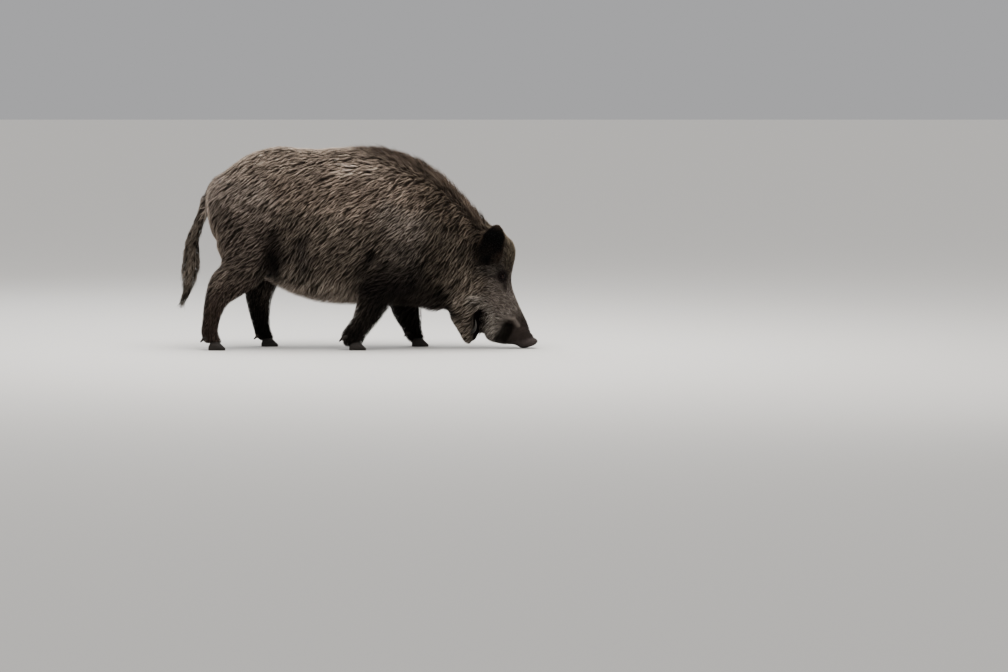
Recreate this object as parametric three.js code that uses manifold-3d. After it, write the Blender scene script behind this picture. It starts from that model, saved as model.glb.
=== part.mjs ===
// Wild boar (Sus scrofa), a grown male in winter coat, walking with its head down to root.
// Millimetres. +X is the way it faces, +Y its left, +Z up. The solids reach out to the tips of the coat,
// and the animal stands on its claws and the rim of its nose, all at one level.
import * as THREE from "three";
import { mergeVertices } from "three/addons/utils/BufferGeometryUtils.js";
import Module from "manifold-3d";

const wasm = await Module();
wasm.setup();

// Driving dimensions.
const GAP = 0.35; // between neighbouring pieces
const GROWN = 0.4; // how much fatter a piece is made to cut room for itself in its neighbour
const HIND_Y = 115; // the hind feet's distance from the middle plane
const FORE_Y = 110;
const HAM = { at: [-456, 88, 486], half: [132, 94, 184], lean: 9 };
const SHOULDER = { at: [150, 106, 440], half: [128, 90, 225], lean: -12 };
const CHEEK = { at: [450, 44, 258], half: [96, 70, 150], lean: 26 };
const EYE = { at: [580, 63, 298], radius: 12.5 };
const SOCKET = { at: [590, 74, 297], radius: 13 }; // the hollow that the eye looks out of
const EAR = { base: [500, 96, 334], long: 204, wide: 63, thick: 9, cup: 26, lean: 17, turn: 12 };
const EAR_SPLAY = { right: 18, left: 36 }; // degrees out from upright: the left ear is held lower
const CLAW = { long: 70, high: 34, wide: 28, apart: 16 };
const DEWCLAW = { long: 38, thick: 11, apart: 18 };
const NOSTRIL = { at: [696, 15, 4], half: [9.5, 7.5, 17], lean: 14 };

const hide = { trunk: 0x4b4138, neck: 0x4e443b, head: 0x5a5048, leg: 0x1f1b19, ear: 0x1b1715 };
const horn = 0x15110f;
const ivory = 0xcfc4a6;
const parts = new THREE.Group();

// Solids ---------------------------------------------------------------------------------------

// A closed geometry as a manifold solid, with its faces pointing out.
function solidOf(geometry) {
  const bare = new THREE.BufferGeometry().setAttribute("position", geometry.getAttribute("position"));
  bare.setIndex(geometry.index);
  const merged = mergeVertices(bare, 1e-3);
  const vertProperties = new Float32Array(merged.attributes.position.array);
  const triVerts = new Uint32Array(merged.index.array);
  const make = () => new wasm.Manifold(new wasm.Mesh({ numProp: 3, vertProperties, triVerts }));
  let solid = make();
  if (solid.volume() < 0) {
    triVerts.reverse();
    solid = make();
  }
  return solid;
}

function geometryOf(solid) {
  const mesh = solid.getMesh();
  const step = mesh.numProp;
  const position = new Float32Array(mesh.numVert * 3);
  for (let i = 0; i < mesh.numVert; i++) {
    position.set(mesh.vertProperties.subarray(i * step, i * step + 3), i * 3);
  }
  const geometry = new THREE.BufferGeometry();
  geometry.setAttribute("position", new THREE.BufferAttribute(position, 3));
  geometry.setIndex(new THREE.BufferAttribute(mesh.triVerts, 1));
  geometry.computeVertexNormals();
  return geometry;
}

const joined = (...solids) => solids.reduce((all, solid) => all.add(solid));
const without = (solid, ...others) => others.reduce((left, other) => left.subtract(other), solid);

function placed(geometry, { at = [0, 0, 0], scale = [1, 1, 1], lean = 0, splay = 0, turn = 0 }) {
  const spin = new THREE.Euler(
    THREE.MathUtils.degToRad(splay),
    THREE.MathUtils.degToRad(lean),
    THREE.MathUtils.degToRad(turn),
    "ZYX",
  );
  const matrix = new THREE.Matrix4().compose(
    new THREE.Vector3(...at),
    new THREE.Quaternion().setFromEuler(spin),
    new THREE.Vector3(...scale),
  );
  return solidOf(geometry.applyMatrix4(matrix));
}

// An egg of flesh under the coat (or of air, as a nostril) on one side of the body: 1 left, -1 right.
function swelling({ at: [x, y, z], half, lean }, side, grow = 0) {
  return placed(new THREE.SphereGeometry(1, 12, 8), {
    at: [x, y * side, z],
    scale: half.map((h) => h + grow),
    lean,
  });
}

// A ring of a loft runs through a top point and a bottom point of the side view (or, on a leg or the tail,
// a front and a back one), and is half wide to each side of the plane y. level is how far up it is widest.
// crown and keel are the roundness of its two halves: 2 is an ellipse, less is sharper, more is squarer.
function ring(top, bottom, half, { y = 0, level = 0.5, crown = 2, keel = 2 } = {}) {
  return { top, bottom, half, y, level, crown, keel };
}

// Rings joined by smooth curves into one closed solid. Its ends bulge by nearCap and farCap.
function loft(rings, { around = 16, along = 16, nearCap = 0, farCap = 0, capSteps = 3, grow = 0 } = {}) {
  const curve = (pick) => {
    const points = rings.map((r) => new THREE.Vector3(...pick(r)));
    return new THREE.CatmullRomCurve3(points, false, "catmullrom");
  };
  const tops = curve((r) => [r.top[0], r.y, r.top[1]]);
  const bottoms = curve((r) => [r.bottom[0], r.y, r.bottom[1]]);
  const widths = curve((r) => [r.half, r.level * 100, 0]);
  const forms = curve((r) => [r.crown * 100, r.keel * 100, 0]);

  const frameAt = (t) => {
    const top = tops.getPoint(t);
    const bottom = bottoms.getPoint(t);
    const [half, level] = widths.getPoint(t).toArray();
    const [crown, keel] = forms.getPoint(t).toArray();
    const centre = bottom.clone().lerp(top, level / 100);
    const up = top.clone().sub(centre);
    const down = bottom.clone().sub(centre);
    up.setLength(up.length() + grow);
    down.setLength(down.length() + grow);
    const across = new THREE.Vector3(0, half + grow, 0);
    const away = up.clone().cross(across).normalize();
    return { centre, up, down, across, away, crown: crown / 100, keel: keel / 100 };
  };
  const middle = frameAt(0.5);
  const next = frameAt(0.52);
  const forward = Math.sign(middle.away.dot(next.centre.sub(middle.centre)));

  // One row of the template sphere is one ring: its place along the loft, its size and its push outwards.
  const rows = [];
  const caps = (at, sign, bulge) =>
    Array.from({ length: capSteps }, (_, i) => {
      const angle = (i / capSteps) * (Math.PI / 2);
      return { t: at, size: Math.sin(angle), push: sign * bulge * Math.cos(angle) };
    });
  rows.push(...caps(0, -1, nearCap + grow));
  for (let i = 0; i <= along; i++) {
    rows.push({ t: i / along, size: 1, push: 0 });
  }
  rows.push(...caps(1, 1, farCap + grow).reverse());

  const template = new THREE.SphereGeometry(1, around, rows.length - 1);
  const position = template.getAttribute("position");
  const frames = rows.map((row) => frameAt(row.t));
  const power = (value, form) => Math.sign(value) * Math.abs(value) ** (2 / form);
  for (let i = 0; i < position.count; i++) {
    const rowIndex = Math.floor(i / (around + 1));
    const angle = ((i % (around + 1)) / around) * 2 * Math.PI;
    const row = rows[rowIndex];
    const f = frames[rowIndex];
    const [c, s] = [Math.cos(angle), Math.sin(angle)];
    const form = s >= 0 ? f.crown : f.keel;
    const point = f.centre
      .clone()
      .addScaledVector(f.across, power(c, form) * row.size)
      .addScaledVector(s >= 0 ? f.up : f.down, Math.abs(power(s, form)) * row.size)
      .addScaledVector(f.away, row.push * forward);
    position.setXYZ(i, point.x, point.y, point.z);
  }
  return solidOf(template);
}

// A plate GAP thick through two points of the side view, right across the body, to part it.
function partingPlate([x0, z0], [x1, z1], wide = 900) {
  const long = Math.hypot(x1 - x0, z1 - z0);
  const angle = -THREE.MathUtils.radToDeg(Math.atan2(z1 - z0, x1 - x0));
  return placed(new THREE.BoxGeometry(long * 4, wide, GAP), {
    at: [(x0 + x1) / 2, 0, (z0 + z1) / 2],
    lean: angle,
  });
}

// The space on one side of the body inside a smooth outline of the side view, from inner outwards.
function sideBlock(outline, side, inner, grow = 0) {
  const curve = new THREE.CatmullRomCurve3(
    outline.map(([x, z]) => new THREE.Vector3(x, z, 0)),
    true,
  );
  const middle = new THREE.Vector3();
  const rim = curve.getPoints(20).slice(0, -1);
  rim.forEach((p) => middle.addScaledVector(p, 1 / rim.length));
  const shape = new THREE.Shape(
    rim.map((p) => {
      const out = p.clone().sub(middle);
      out.setLength(out.length() + grow * 1.6);
      out.add(middle);
      return new THREE.Vector2(out.x, out.y);
    }),
  );
  const block = new THREE.ExtrudeGeometry(shape, { depth: 300, bevelEnabled: false });
  block.rotateX(Math.PI / 2); // the extrusion now runs towards -Y
  block.translate(0, -inner + grow, 0);
  if (side > 0) {
    block.scale(1, -1, 1);
  }
  return solidOf(block);
}

const above = (level) => solidOf(new THREE.BoxGeometry(3000, 2000, 1500).translate(0, 0, 750 + level));
const aboveFloor = above(0);
const belowLegs = above(CLAW.high - 1500);
const aboveClaws = above(CLAW.high + GAP);

// The piece of a solid that holds most of it, should a cut leave crumbs.
function mainPiece(solid) {
  return solid.decompose().reduce((best, piece) => (piece.volume() > best.volume() ? piece : best));
}

// Every piece but crumbs.
function mainPieces(solid) {
  const pieces = solid.decompose();
  const biggest = Math.max(...pieces.map((piece) => piece.volume()));
  return pieces.filter((piece) => piece.volume() > biggest * 0.01);
}

const fromTheTop = (pieces) => pieces.sort((a, b) => b.boundingBox().max[2] - a.boundingBox().max[2]);

function addPart(name, solid, colour, roughness = 0.85) {
  const material = new THREE.MeshStandardMaterial({ color: colour, roughness, metalness: 0 });
  const mesh = new THREE.Mesh(geometryOf(mainPiece(solid)), material);
  mesh.name = name;
  parts.add(mesh);
}

// Trunk and neck -------------------------------------------------------------------------------

const back = { crown: 1.9, keel: 2.2 };
const mane = { crown: 1.75, keel: 1.9, level: 0.52 };
const trunkRings = [
  ring([-606, 684], [-572, 430], 104, { crown: 2, keel: 2 }),
  ring([-548, 732], [-510, 372], 146, back),
  ring([-452, 799], [-420, 318], 178, back),
  ring([-335, 830], [-325, 256], 190, back),
  ring([-200, 818], [-205, 208], 194, back),
  ring([-62, 825], [-70, 190], 199, back),
  ring([62, 828], [62, 190], 197, back),
  ring([166, 810], [168, 186], 190, { crown: 1.8, keel: 2.2 }),
  ring([262, 770], [246, 178], 176, mane),
  ring([348, 710], [280, 164], 158, mane),
  ring([428, 630], [306, 157], 142, mane),
  ring([505, 553], [338, 156], 124, mane),
  ring([578, 484], [386, 178], 100, mane),
];
const trunkLoft = (grow = 0) =>
  loft(trunkRings, { around: 24, along: 20, nearCap: 36, farCap: 46, grow });

// Head -----------------------------------------------------------------------------------------

const face = { crown: 2.3, keel: 2.1, level: 0.55 };
const snout = { crown: 2.7, keel: 2.2, level: 0.58 };
const headRings = [
  ring([598, 466], [508, 486], 78, face),
  ring([630, 434], [462, 400], 93, face),
  ring([640, 385], [436, 318], 106, { crown: 2, keel: 2.2, level: 0.44 }),
  ring([629, 332], [430, 256], 110, { crown: 1.9, keel: 2.2, level: 0.38 }),
  ring([620, 288], [444, 208], 104, { crown: 1.9, keel: 2.2, level: 0.37 }),
  ring([626, 246], [476, 176], 86, { crown: 2, keel: 2.2, level: 0.42 }),
  ring([640, 205], [499, 150], 70, { crown: 2.4, keel: 2.2, level: 0.5 }),
  ring([655, 170], [504, 112], 60, snout),
  ring([671, 138], [506, 68], 57, snout),
  ring([685, 108], [520, 35], 53, snout),
  ring([695, 80], [560, 20], 48, snout),
  ring([701, 58], [604, 16], 42, snout),
];
const headLoft = (grow = 0) =>
  loft(headRings, { around: 20, along: 17, nearCap: 24, farCap: 12, capSteps: 2, grow });

// The flat round disc that the nostrils open in, tipped up as it is when the animal roots.
const discRings = [
  ring([712, 52], [620, 24], 41, { crown: 2.2, keel: 2.2 }),
  ring([727, 42], [640, 13], 45, { crown: 2.2, keel: 2.2 }),
  ring([737, 27], [648, 3], 45, { crown: 2.2, keel: 2.2 }),
  ring([736, 18], [652, -5], 42, { crown: 2.2, keel: 2.2 }),
];
const discLoft = (grow = 0) =>
  loft(discRings, { around: 14, along: 3, nearCap: 4, farCap: 2, capSteps: 2, grow });

const jawRings = [
  ring([474, 268], [352, 196], 74, { keel: 1.9 }),
  ring([490, 206], [360, 140], 66, { keel: 1.9 }),
  ring([492, 150], [382, 100], 54, { crown: 2.6, keel: 1.9 }),
  ring([488, 106], [402, 68], 45, { crown: 2.6, keel: 2 }),
  ring([488, 72], [416, 40], 38, { crown: 2.6, keel: 2 }),
  ring([490, 48], [432, 20], 30, { crown: 2.6, keel: 2 }),
];
const jawLoft = (grow = 0) =>
  loft(jawRings, { around: 12, along: 6, nearCap: 20, farCap: 14, capSteps: 2, grow });

// Legs -----------------------------------------------------------------------------------------
// The right legs are the trailing pair. side is -1 on the right, and sole is the middle of the foot's print.
// rings run from the body down to the pastern: a front point, a back point, half the width, and how much
// nearer the middle plane it lies than the foot. The outline is where the leg leaves the trunk in side view,
// inner is how near the middle plane that cut reaches, and knee is the level where its two lengths meet.

const LEGS = {
  right_hind: {
    side: -1, y: HIND_Y, sole: -580, knee: 232, inner: 34,
    outline: [
      [-720, -60], [-700, 460], [-600, 640], [-470, 650],
      [-370, 540], [-316, 380], [-330, 250], [-470, -60],
    ],
    rings: [
      [[-330, 440], [-590, 480], 70, 11],
      [[-345, 352], [-568, 404], 68, 9],
      [[-392, 282], [-564, 350], 60, 6],
      [[-468, 226], [-600, 314], 46, 3],
      [[-536, 186], [-617, 276], 36, 1],
      [[-556, 150], [-634, 198], 32, 0],
      [[-570, 112], [-641, 128], 29, 0],
      [[-574, 78], [-647, 80], 31, 0],
      [[-569, 52], [-642, 42], 32, 0],
      [[-550, 32], [-616, 16], 31, 0],
    ],
  },
  left_hind: {
    side: 1, y: HIND_Y, sole: -374, knee: 236, inner: 34,
    outline: [
      [-700, -60], [-700, 460], [-600, 640], [-460, 650],
      [-350, 540], [-296, 380], [-290, 240], [-290, -60],
    ],
    rings: [
      [[-305, 440], [-580, 480], 70, 11],
      [[-306, 352], [-560, 392], 68, 9],
      [[-322, 290], [-522, 340], 60, 6],
      [[-346, 246], [-496, 308], 46, 3],
      [[-362, 206], [-484, 264], 37, 1],
      [[-370, 162], [-474, 190], 32, 0],
      [[-373, 118], [-458, 126], 29, 0],
      [[-372, 80], [-444, 78], 31, 0],
      [[-366, 54], [-434, 38], 32, 0],
      [[-346, 34], [-411, 16], 31, 0],
    ],
  },
  right_fore: {
    side: -1, y: FORE_Y, sole: -6, knee: 168, inner: 62,
    outline: [
      [-150, -60], [-40, 250], [30, 400], [100, 530],
      [190, 560], [262, 470], [272, 300], [110, -60],
    ],
    rings: [
      [[250, 420], [30, 380], 74, 2],
      [[222, 330], [4, 300], 66, 1],
      [[172, 246], [-12, 236], 56, 0],
      [[118, 176], [-16, 180], 44, 0],
      [[80, 130], [-24, 140], 37, 0],
      [[54, 96], [-48, 108], 32, 0],
      [[30, 68], [-74, 74], 30, 0],
      [[18, 46], [-76, 44], 31, 0],
      [[22, 32], [-44, 16], 30, 0],
    ],
  },
  left_fore: {
    side: 1, y: FORE_Y, sole: 246, knee: 168, inner: 62,
    outline: [
      [40, -60], [60, 250], [80, 400], [130, 530],
      [210, 560], [278, 470], [292, 300], [310, -60],
    ],
    rings: [
      [[272, 420], [70, 380], 74, 2],
      [[266, 330], [84, 300], 66, 1],
      [[258, 246], [100, 236], 56, 0],
      [[254, 176], [118, 168], 44, 0],
      [[253, 126], [146, 118], 37, 0],
      [[251, 88], [170, 84], 32, 0],
      [[254, 58], [184, 50], 31, 0],
      [[274, 34], [212, 16], 30, 0],
    ],
  },
};

function legLoft({ side, y, rings }, grow = 0) {
  const placedRings = rings.map(([front, rear, half, inset]) =>
    ring(front, rear, half, { y: side * (y - inset) }),
  );
  return loft(placedRings, { around: 10, along: 9, nearCap: 30, farCap: 8, capSteps: 2, grow });
}

// One foot's pair of main claws, under the flat end of the leg, and its pair of dewclaws behind.
function addFoot(name, leg) {
  const { long, high, wide, apart } = CLAW;
  const places = { inner: leg.y - apart, outer: leg.y + apart };
  for (const [place, y] of Object.entries(places)) {
    const [x, at] = [leg.sole, leg.side * y];
    const half = wide / 2;
    const wall = { y: at, crown: 2.6, keel: 3 };
    const claw = loft(
      [
        ring([x - long * 0.44, high * 1.05], [x - long * 0.5, -4], half * 0.82, { y: at }),
        ring([x - long * 0.14, high * 1.3], [x - long * 0.18, -4], half, wall),
        ring([x + long * 0.16, high * 1.05], [x + long * 0.22, -4], half * 0.96, wall),
        ring([x + long * 0.42, high * 0.36], [x + long * 0.47, -4], half * 0.5, { y: at }),
      ],
      { around: 8, along: 4, nearCap: 4, farCap: 3, capSteps: 1 },
    );
    addPart(`${name}_claw_${place}`, claw.intersect(aboveFloor).intersect(belowLegs), horn, 0.5);
  }
  const room = legLoft(leg, GROWN);
  const [heelX, heelZ] = leg.rings.at(-2)[1];
  const [x, z] = [heelX + 10, heelZ + 12];
  const { long: tip, thick, apart: spread } = DEWCLAW;
  for (const [place, sign] of [["inner", -1], ["outer", 1]]) {
    const y = leg.side * (leg.y + sign * spread);
    const dewclaw = loft(
      [
        ring([x + 8, z + thick], [x + 8, z - thick], thick, { y }),
        ring([x - 13, z + 1], [x - 4, z - 20], thick * 0.95, { y }),
        ring([x - tip * 0.62, z - tip * 0.5], [x - tip * 0.38, z - tip * 0.74], thick * 0.7, { y }),
      ],
      { around: 6, along: 2, nearCap: 3, farCap: 3, capSteps: 1 },
    );
    addPart(`${name}_dewclaw_${place}`, without(dewclaw, room), horn, 0.5);
  }
}

// Tail -----------------------------------------------------------------------------------------

const tailRings = [
  ring([-586, 634], [-612, 664], 20),
  ring([-606, 606], [-645, 628], 21),
  ring([-622, 566], [-655, 572], 17),
  ring([-644, 518], [-672, 524], 16),
  ring([-660, 472], [-694, 478], 18),
  ring([-664, 424], [-714, 428], 20),
  ring([-661, 372], [-720, 374], 22),
  ring([-664, 322], [-718, 322], 21),
  ring([-680, 276], [-716, 274], 16),
  ring([-700, 232], [-722, 226], 11),
  ring([-722, 192], [-736, 186], 7),
  ring([-738, 166], [-742, 160], 3),
];
const tailLoft = (grow = 0) =>
  loft(tailRings, { around: 8, along: 12, nearCap: 8, farCap: 2, capSteps: 2, grow });

// Ears, eyes and tusks -------------------------------------------------------------------------

// A cupped leaf, thick enough for its fur: up runs from its root to its tip and the hollow faces outwards.
function earLeaf(side, splay) {
  const leaf = new THREE.SphereGeometry(1, 12, 8);
  leaf.rotateX(Math.PI / 2); // poles at the root and the tip
  const position = leaf.getAttribute("position");
  for (let i = 0; i < position.count; i++) {
    const up = (position.getZ(i) + 1) / 2;
    const across = position.getX(i) * (1.16 - 0.3 * up);
    const hollow = EAR.cup * across ** 2 * (1.5 - up);
    position.setXYZ(i, across * EAR.wide, side * (hollow - position.getY(i) * EAR.thick), up * EAR.long);
  }
  return placed(leaf, {
    at: [EAR.base[0], EAR.base[1] * side, EAR.base[2]],
    lean: EAR.lean,
    splay: -splay * side,
    turn: -EAR.turn * side,
  });
}

const ball = ({ at: [x, y, z], radius }, side, grow = 0) =>
  solidOf(new THREE.SphereGeometry(radius + grow, 10, 7).translate(x, y * side, z));

// A tusk tapers along its points, from the root to the tip.
function tusk(side, { points, thick }, grow = 0) {
  const rings = points.map(([x, y, z], i) => {
    const [from, to] = [points[Math.max(i - 1, 0)], points[Math.min(i + 1, points.length - 1)]];
    const [runX, runZ] = [to[0] - from[0], to[2] - from[2]];
    const size = thick * (1 - (0.85 * i) / (points.length - 1)) + grow;
    const scale = size / Math.hypot(runX, runZ);
    const [dx, dz] = [-runZ * scale, runX * scale];
    return ring([x + dx, z + dz], [x - dx, z - dz], size, { y: y * side });
  });
  return loft(rings, { around: 6, along: 5, nearCap: 1 + grow, farCap: 1 + grow, capSteps: 1 });
}
const TUSK = { points: [[456, 26, 68], [469, 44, 78], [475, 55, 97], [473, 61, 122]], thick: 8 };

// Putting it together --------------------------------------------------------------------------

const SIDES = { right: -1, left: 1 };
const bothSides = (make) => Object.values(SIDES).map(make);

const head = joined(headLoft(), ...bothSides((s) => swelling(CHEEK, s)));
const headGrown = joined(headLoft(GROWN), ...bothSides((s) => swelling(CHEEK, s, GROWN)));
const body = joined(
  trunkLoft(),
  ...bothSides((s) => swelling(HAM, s)),
  ...bothSides((s) => swelling(SHOULDER, s)),
  ...Object.values(LEGS).map((leg) => legLoft(leg)),
);
const eyeRoom = bothSides((s) => joined(ball(EYE, s, GAP), ball(SOCKET, s)));

// The head and neck part along a line from behind the ears to behind the jaw, the neck and trunk before the
// shoulders.
const headLine = partingPlate([534, 536], [318, 158]);
const neckLine = partingPlate([316, 760], [286, 150]);

const inOne = without(joined(body, head), ...eyeRoom, tailLoft(GROWN));
const legBlock = (leg, grow = 0) => sideBlock(leg.outline, leg.side, leg.inner, grow);
const legless = without(inOne, ...Object.values(LEGS).map((leg) => legBlock(leg, GAP)));
const parted = without(legless, headLine, neckLine, discLoft(GROWN));
const fromTheRear = mainPieces(parted).sort((a, b) => a.boundingBox().min[0] - b.boundingBox().min[0]);
["trunk", "neck", "head"].forEach((name, i) => addPart(name, fromTheRear[i], hide[name]));

const nostrils = bothSides((s) => swelling(NOSTRIL, s));
addPart("nose_disc", without(discLoft(), ...nostrils).intersect(aboveFloor), 0x3a2f2c, 0.6);

for (const [name, s] of Object.entries(SIDES)) {
  addPart(`${name}_ear`, without(earLeaf(s, EAR_SPLAY[name]), headGrown, trunkLoft(GROWN)), hide.ear);
  addPart(`${name}_eye`, ball(EYE, s), 0x0c0807, 0.1);
  addPart(`${name}_tusk`, tusk(s, TUSK), ivory, 0.35);
}

const tuskRoom = bothSides((s) => tusk(s, TUSK, GAP));
addPart("lower_jaw", without(jawLoft(), headGrown, trunkLoft(GROWN), ...tuskRoom), hide.head);

for (const [name, leg] of Object.entries(LEGS)) {
  const whole = inOne.intersect(legBlock(leg)).intersect(aboveClaws);
  const knee = partingPlate([-900, leg.knee], [900, leg.knee]);
  const [upper, lower] = fromTheTop(mainPieces(without(whole, knee)));
  addPart(`${name}_upper_leg`, upper, hide.trunk);
  addPart(`${name}_lower_leg`, lower, hide.leg);
  addFoot(name, leg);
}

const [tail, tuft] = fromTheTop(mainPieces(without(tailLoft(), partingPlate([-760, 300], [-600, 300]))));
addPart("tail", tail, hide.trunk);
addPart("tail_tuft", tuft, hide.leg);

// The origin is the middle of the ground that the whole animal covers.
const covered = new THREE.Box3().setFromObject(parts);
const middle = covered.getCenter(new THREE.Vector3());
parts.position.set(-middle.x, -middle.y, -covered.min.z);
parts.name = "wild_boar";

export default parts;
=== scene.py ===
import itertools
import math

import bmesh
import bpy
import numpy as np
from mathutils import Matrix, Vector
from mathutils.bvhtree import BVHTree
from mathutils.kdtree import KDTree


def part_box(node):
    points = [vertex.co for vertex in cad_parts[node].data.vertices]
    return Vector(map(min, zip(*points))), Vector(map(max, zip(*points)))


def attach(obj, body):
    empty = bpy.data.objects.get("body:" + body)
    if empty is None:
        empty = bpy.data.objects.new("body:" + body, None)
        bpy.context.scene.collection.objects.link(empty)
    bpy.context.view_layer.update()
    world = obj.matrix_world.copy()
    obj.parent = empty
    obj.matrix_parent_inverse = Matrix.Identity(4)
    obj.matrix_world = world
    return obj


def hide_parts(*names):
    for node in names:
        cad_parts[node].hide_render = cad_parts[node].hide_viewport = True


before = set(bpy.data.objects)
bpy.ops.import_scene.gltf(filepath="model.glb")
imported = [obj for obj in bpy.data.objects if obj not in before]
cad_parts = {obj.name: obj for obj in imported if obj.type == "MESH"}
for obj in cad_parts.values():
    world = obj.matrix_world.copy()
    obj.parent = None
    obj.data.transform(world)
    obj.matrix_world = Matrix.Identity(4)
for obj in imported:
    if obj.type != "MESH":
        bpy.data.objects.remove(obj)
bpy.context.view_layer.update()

rng = np.random.default_rng(20)

# A wild boar in winter coat, walking with its head down to root. Places are in the animal's own frame,
# +X the way it faces, +Y its left, +Z up from the ground, in metres, or in mm where a note says so.
# origin moves them into the model's frame.


def boxMiddle(node):
    low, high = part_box(node)
    return (np.array(low) + np.array(high)) / 2


eyeAt = np.array((0.580, 0.063, 0.298))
origin = (boxMiddle("right_eye") + boxMiddle("left_eye")) / 2 - eyeAt * (1, 0, 1)


def cornersOf(node):  # a solid's lowest and highest corner, in the animal's frame
    return [np.array(corner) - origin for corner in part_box(node)]


# Small helpers

def ease(low, high, value):  # 0 below low, 1 above high, smooth between
    t = np.clip((value - low) / (high - low), 0, 1)
    return t * t * (3 - 2 * t)


def unit(vectors):
    return vectors / np.maximum(np.linalg.norm(vectors, axis=-1, keepdims=True), 1e-9)


def across(vectors, normals):  # what is left of the vectors in the surface
    return unit(vectors - (vectors * normals).sum(-1, keepdims=True) * normals)


def fromLine(points, start, end):  # distance from a straight line, and how far along it
    start, end = np.array(start), np.array(end)
    run = end - start
    along = np.clip((points - start) @ run / max(run @ run, 1e-12), 0, 1)
    return np.linalg.norm(points - start - along[:, None] * run, axis=1), along


def mirrored(points):  # both sides laid on the left one
    return np.abs(points * (0, 1, 0)) + points * (1, 0, 1)


def sided(amount):  # factors that turn the left side's vectors into the right side's where amount is -1
    ones = np.ones(len(amount))
    return np.stack([ones, amount, ones], 1)


def hump(value, middle, width):  # 1 at the middle, fading to 0 about two widths off
    return np.exp(-((value - middle) / width) ** 2)


def rowsOf(items, key, width, kind=np.float32):  # one row for each point, edge, face or corner
    flat = np.empty(len(items) * width, kind)
    items.foreach_get(key, flat)
    return flat.reshape(-1, width)


def pointsOf(mesh):
    return rowsOf(mesh.vertices, "co", 3).astype(float)


def normalsOf(mesh):
    return rowsOf(mesh.vertex_normals, "vector", 3).astype(float)


def movePoints(mesh, points):
    mesh.vertices.foreach_set("co", points.astype(np.float32).ravel())
    mesh.update()


def neighbourMean(mesh):  # gives a function that takes values to the mean of each point's neighbours'
    a, b = rowsOf(mesh.edges, "vertices", 2, np.int32).T
    count = len(mesh.vertices)
    shares = np.maximum(np.bincount(a, minlength=count) + np.bincount(b, minlength=count), 1)
    return lambda values: (np.bincount(a, values[b], count) + np.bincount(b, values[a], count)) / shares


def relax(mesh, rounds, pull):  # each point drifts to the middle of its neighbours
    mean = neighbourMean(mesh)
    points = pointsOf(mesh)
    pull = np.broadcast_to(np.asarray(pull, float).reshape(-1, 1), (len(points), 1))
    for _ in range(rounds):
        points += (np.stack([mean(points[:, k]) for k in range(3)], 1) - points) * pull
    movePoints(mesh, points)


def evened(mesh, values, rounds):  # each point's value blended with its neighbours'
    mean = neighbourMean(mesh)
    for _ in range(rounds):
        values = (values + mean(values)) / 2
    return values


def addToScene(name, data):
    ob = bpy.data.objects.new(name, data)
    bpy.context.scene.collection.objects.link(ob)
    return ob


def addPiece(name, mesh, material, slot, *nodes):  # a finished piece, and the solids that it stands for
    ob = addToScene(name, mesh)
    if material:
        mesh.materials.append(material)
    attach(ob, "root")
    if nodes:
        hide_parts(*nodes)
    return ob


def shadeSmooth(mesh):
    mesh.polygons.foreach_set("use_smooth", [True] * len(mesh.polygons))


def opened(mesh):
    bm = bmesh.new()
    bm.from_mesh(mesh)
    return bm


def closed(bm, mesh):
    bm.to_mesh(mesh)
    bm.free()
    return mesh


def meshOf(bm, name):
    mesh = closed(bm, bpy.data.meshes.new(name))
    shadeSmooth(mesh)
    return mesh


def cutInRows(bm, rows):  # level cuts through a form of height 1 that stands round its middle
    for row in range(1, rows):
        bmesh.ops.bisect_plane(bm, geom=bm.verts[:] + bm.edges[:] + bm.faces[:],
                               plane_co=(0, 0, row / rows - 0.5), plane_no=(0, 0, 1))


def cadCopy(nodes):  # the solids of some nodes, merged, in the animal's frame
    bm = bmesh.new()
    for node in nodes:
        bm.from_mesh(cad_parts[node].data)
    bmesh.ops.remove_doubles(bm, verts=bm.verts, dist=2e-5)
    bmesh.ops.translate(bm, verts=bm.verts, vec=Vector(-origin))
    return bm


def remeshed(bm, name, voxel):  # one closed mesh of even squares round everything in bm
    ob = addToScene(name, meshOf(bm, name))
    remesh = ob.modifiers.new("even", "REMESH")
    remesh.mode = "VOXEL"
    remesh.voxel_size = voxel
    remesh.use_smooth_shade = True
    even = bpy.data.meshes.new_from_object(ob.evaluated_get(bpy.context.evaluated_depsgraph_get()))
    bpy.data.objects.remove(ob)
    even.name = name
    return even


def nearestTree(bm):
    tree = BVHTree.FromBMesh(bm)
    bm.free()
    return tree


def distancesTo(tree, points, most=0.08):
    found = [tree.find_nearest(Vector(p), most)[3] for p in points]
    return np.array([most if d is None else d for d in found])


# The coat's lie. Each line of hair runs near the body from one place to another, and reach is how far its
# word carries. toward is the way the hair points, deep how far its tips stand off the skin, long its length,
# wide a tuft's width and apart the distance between tufts, all in mm. side 0 is both sides, 1 the left, -1
# the right. light brightens or darkens the tone, which is a colour at the hair's root and one at its tip.

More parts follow.
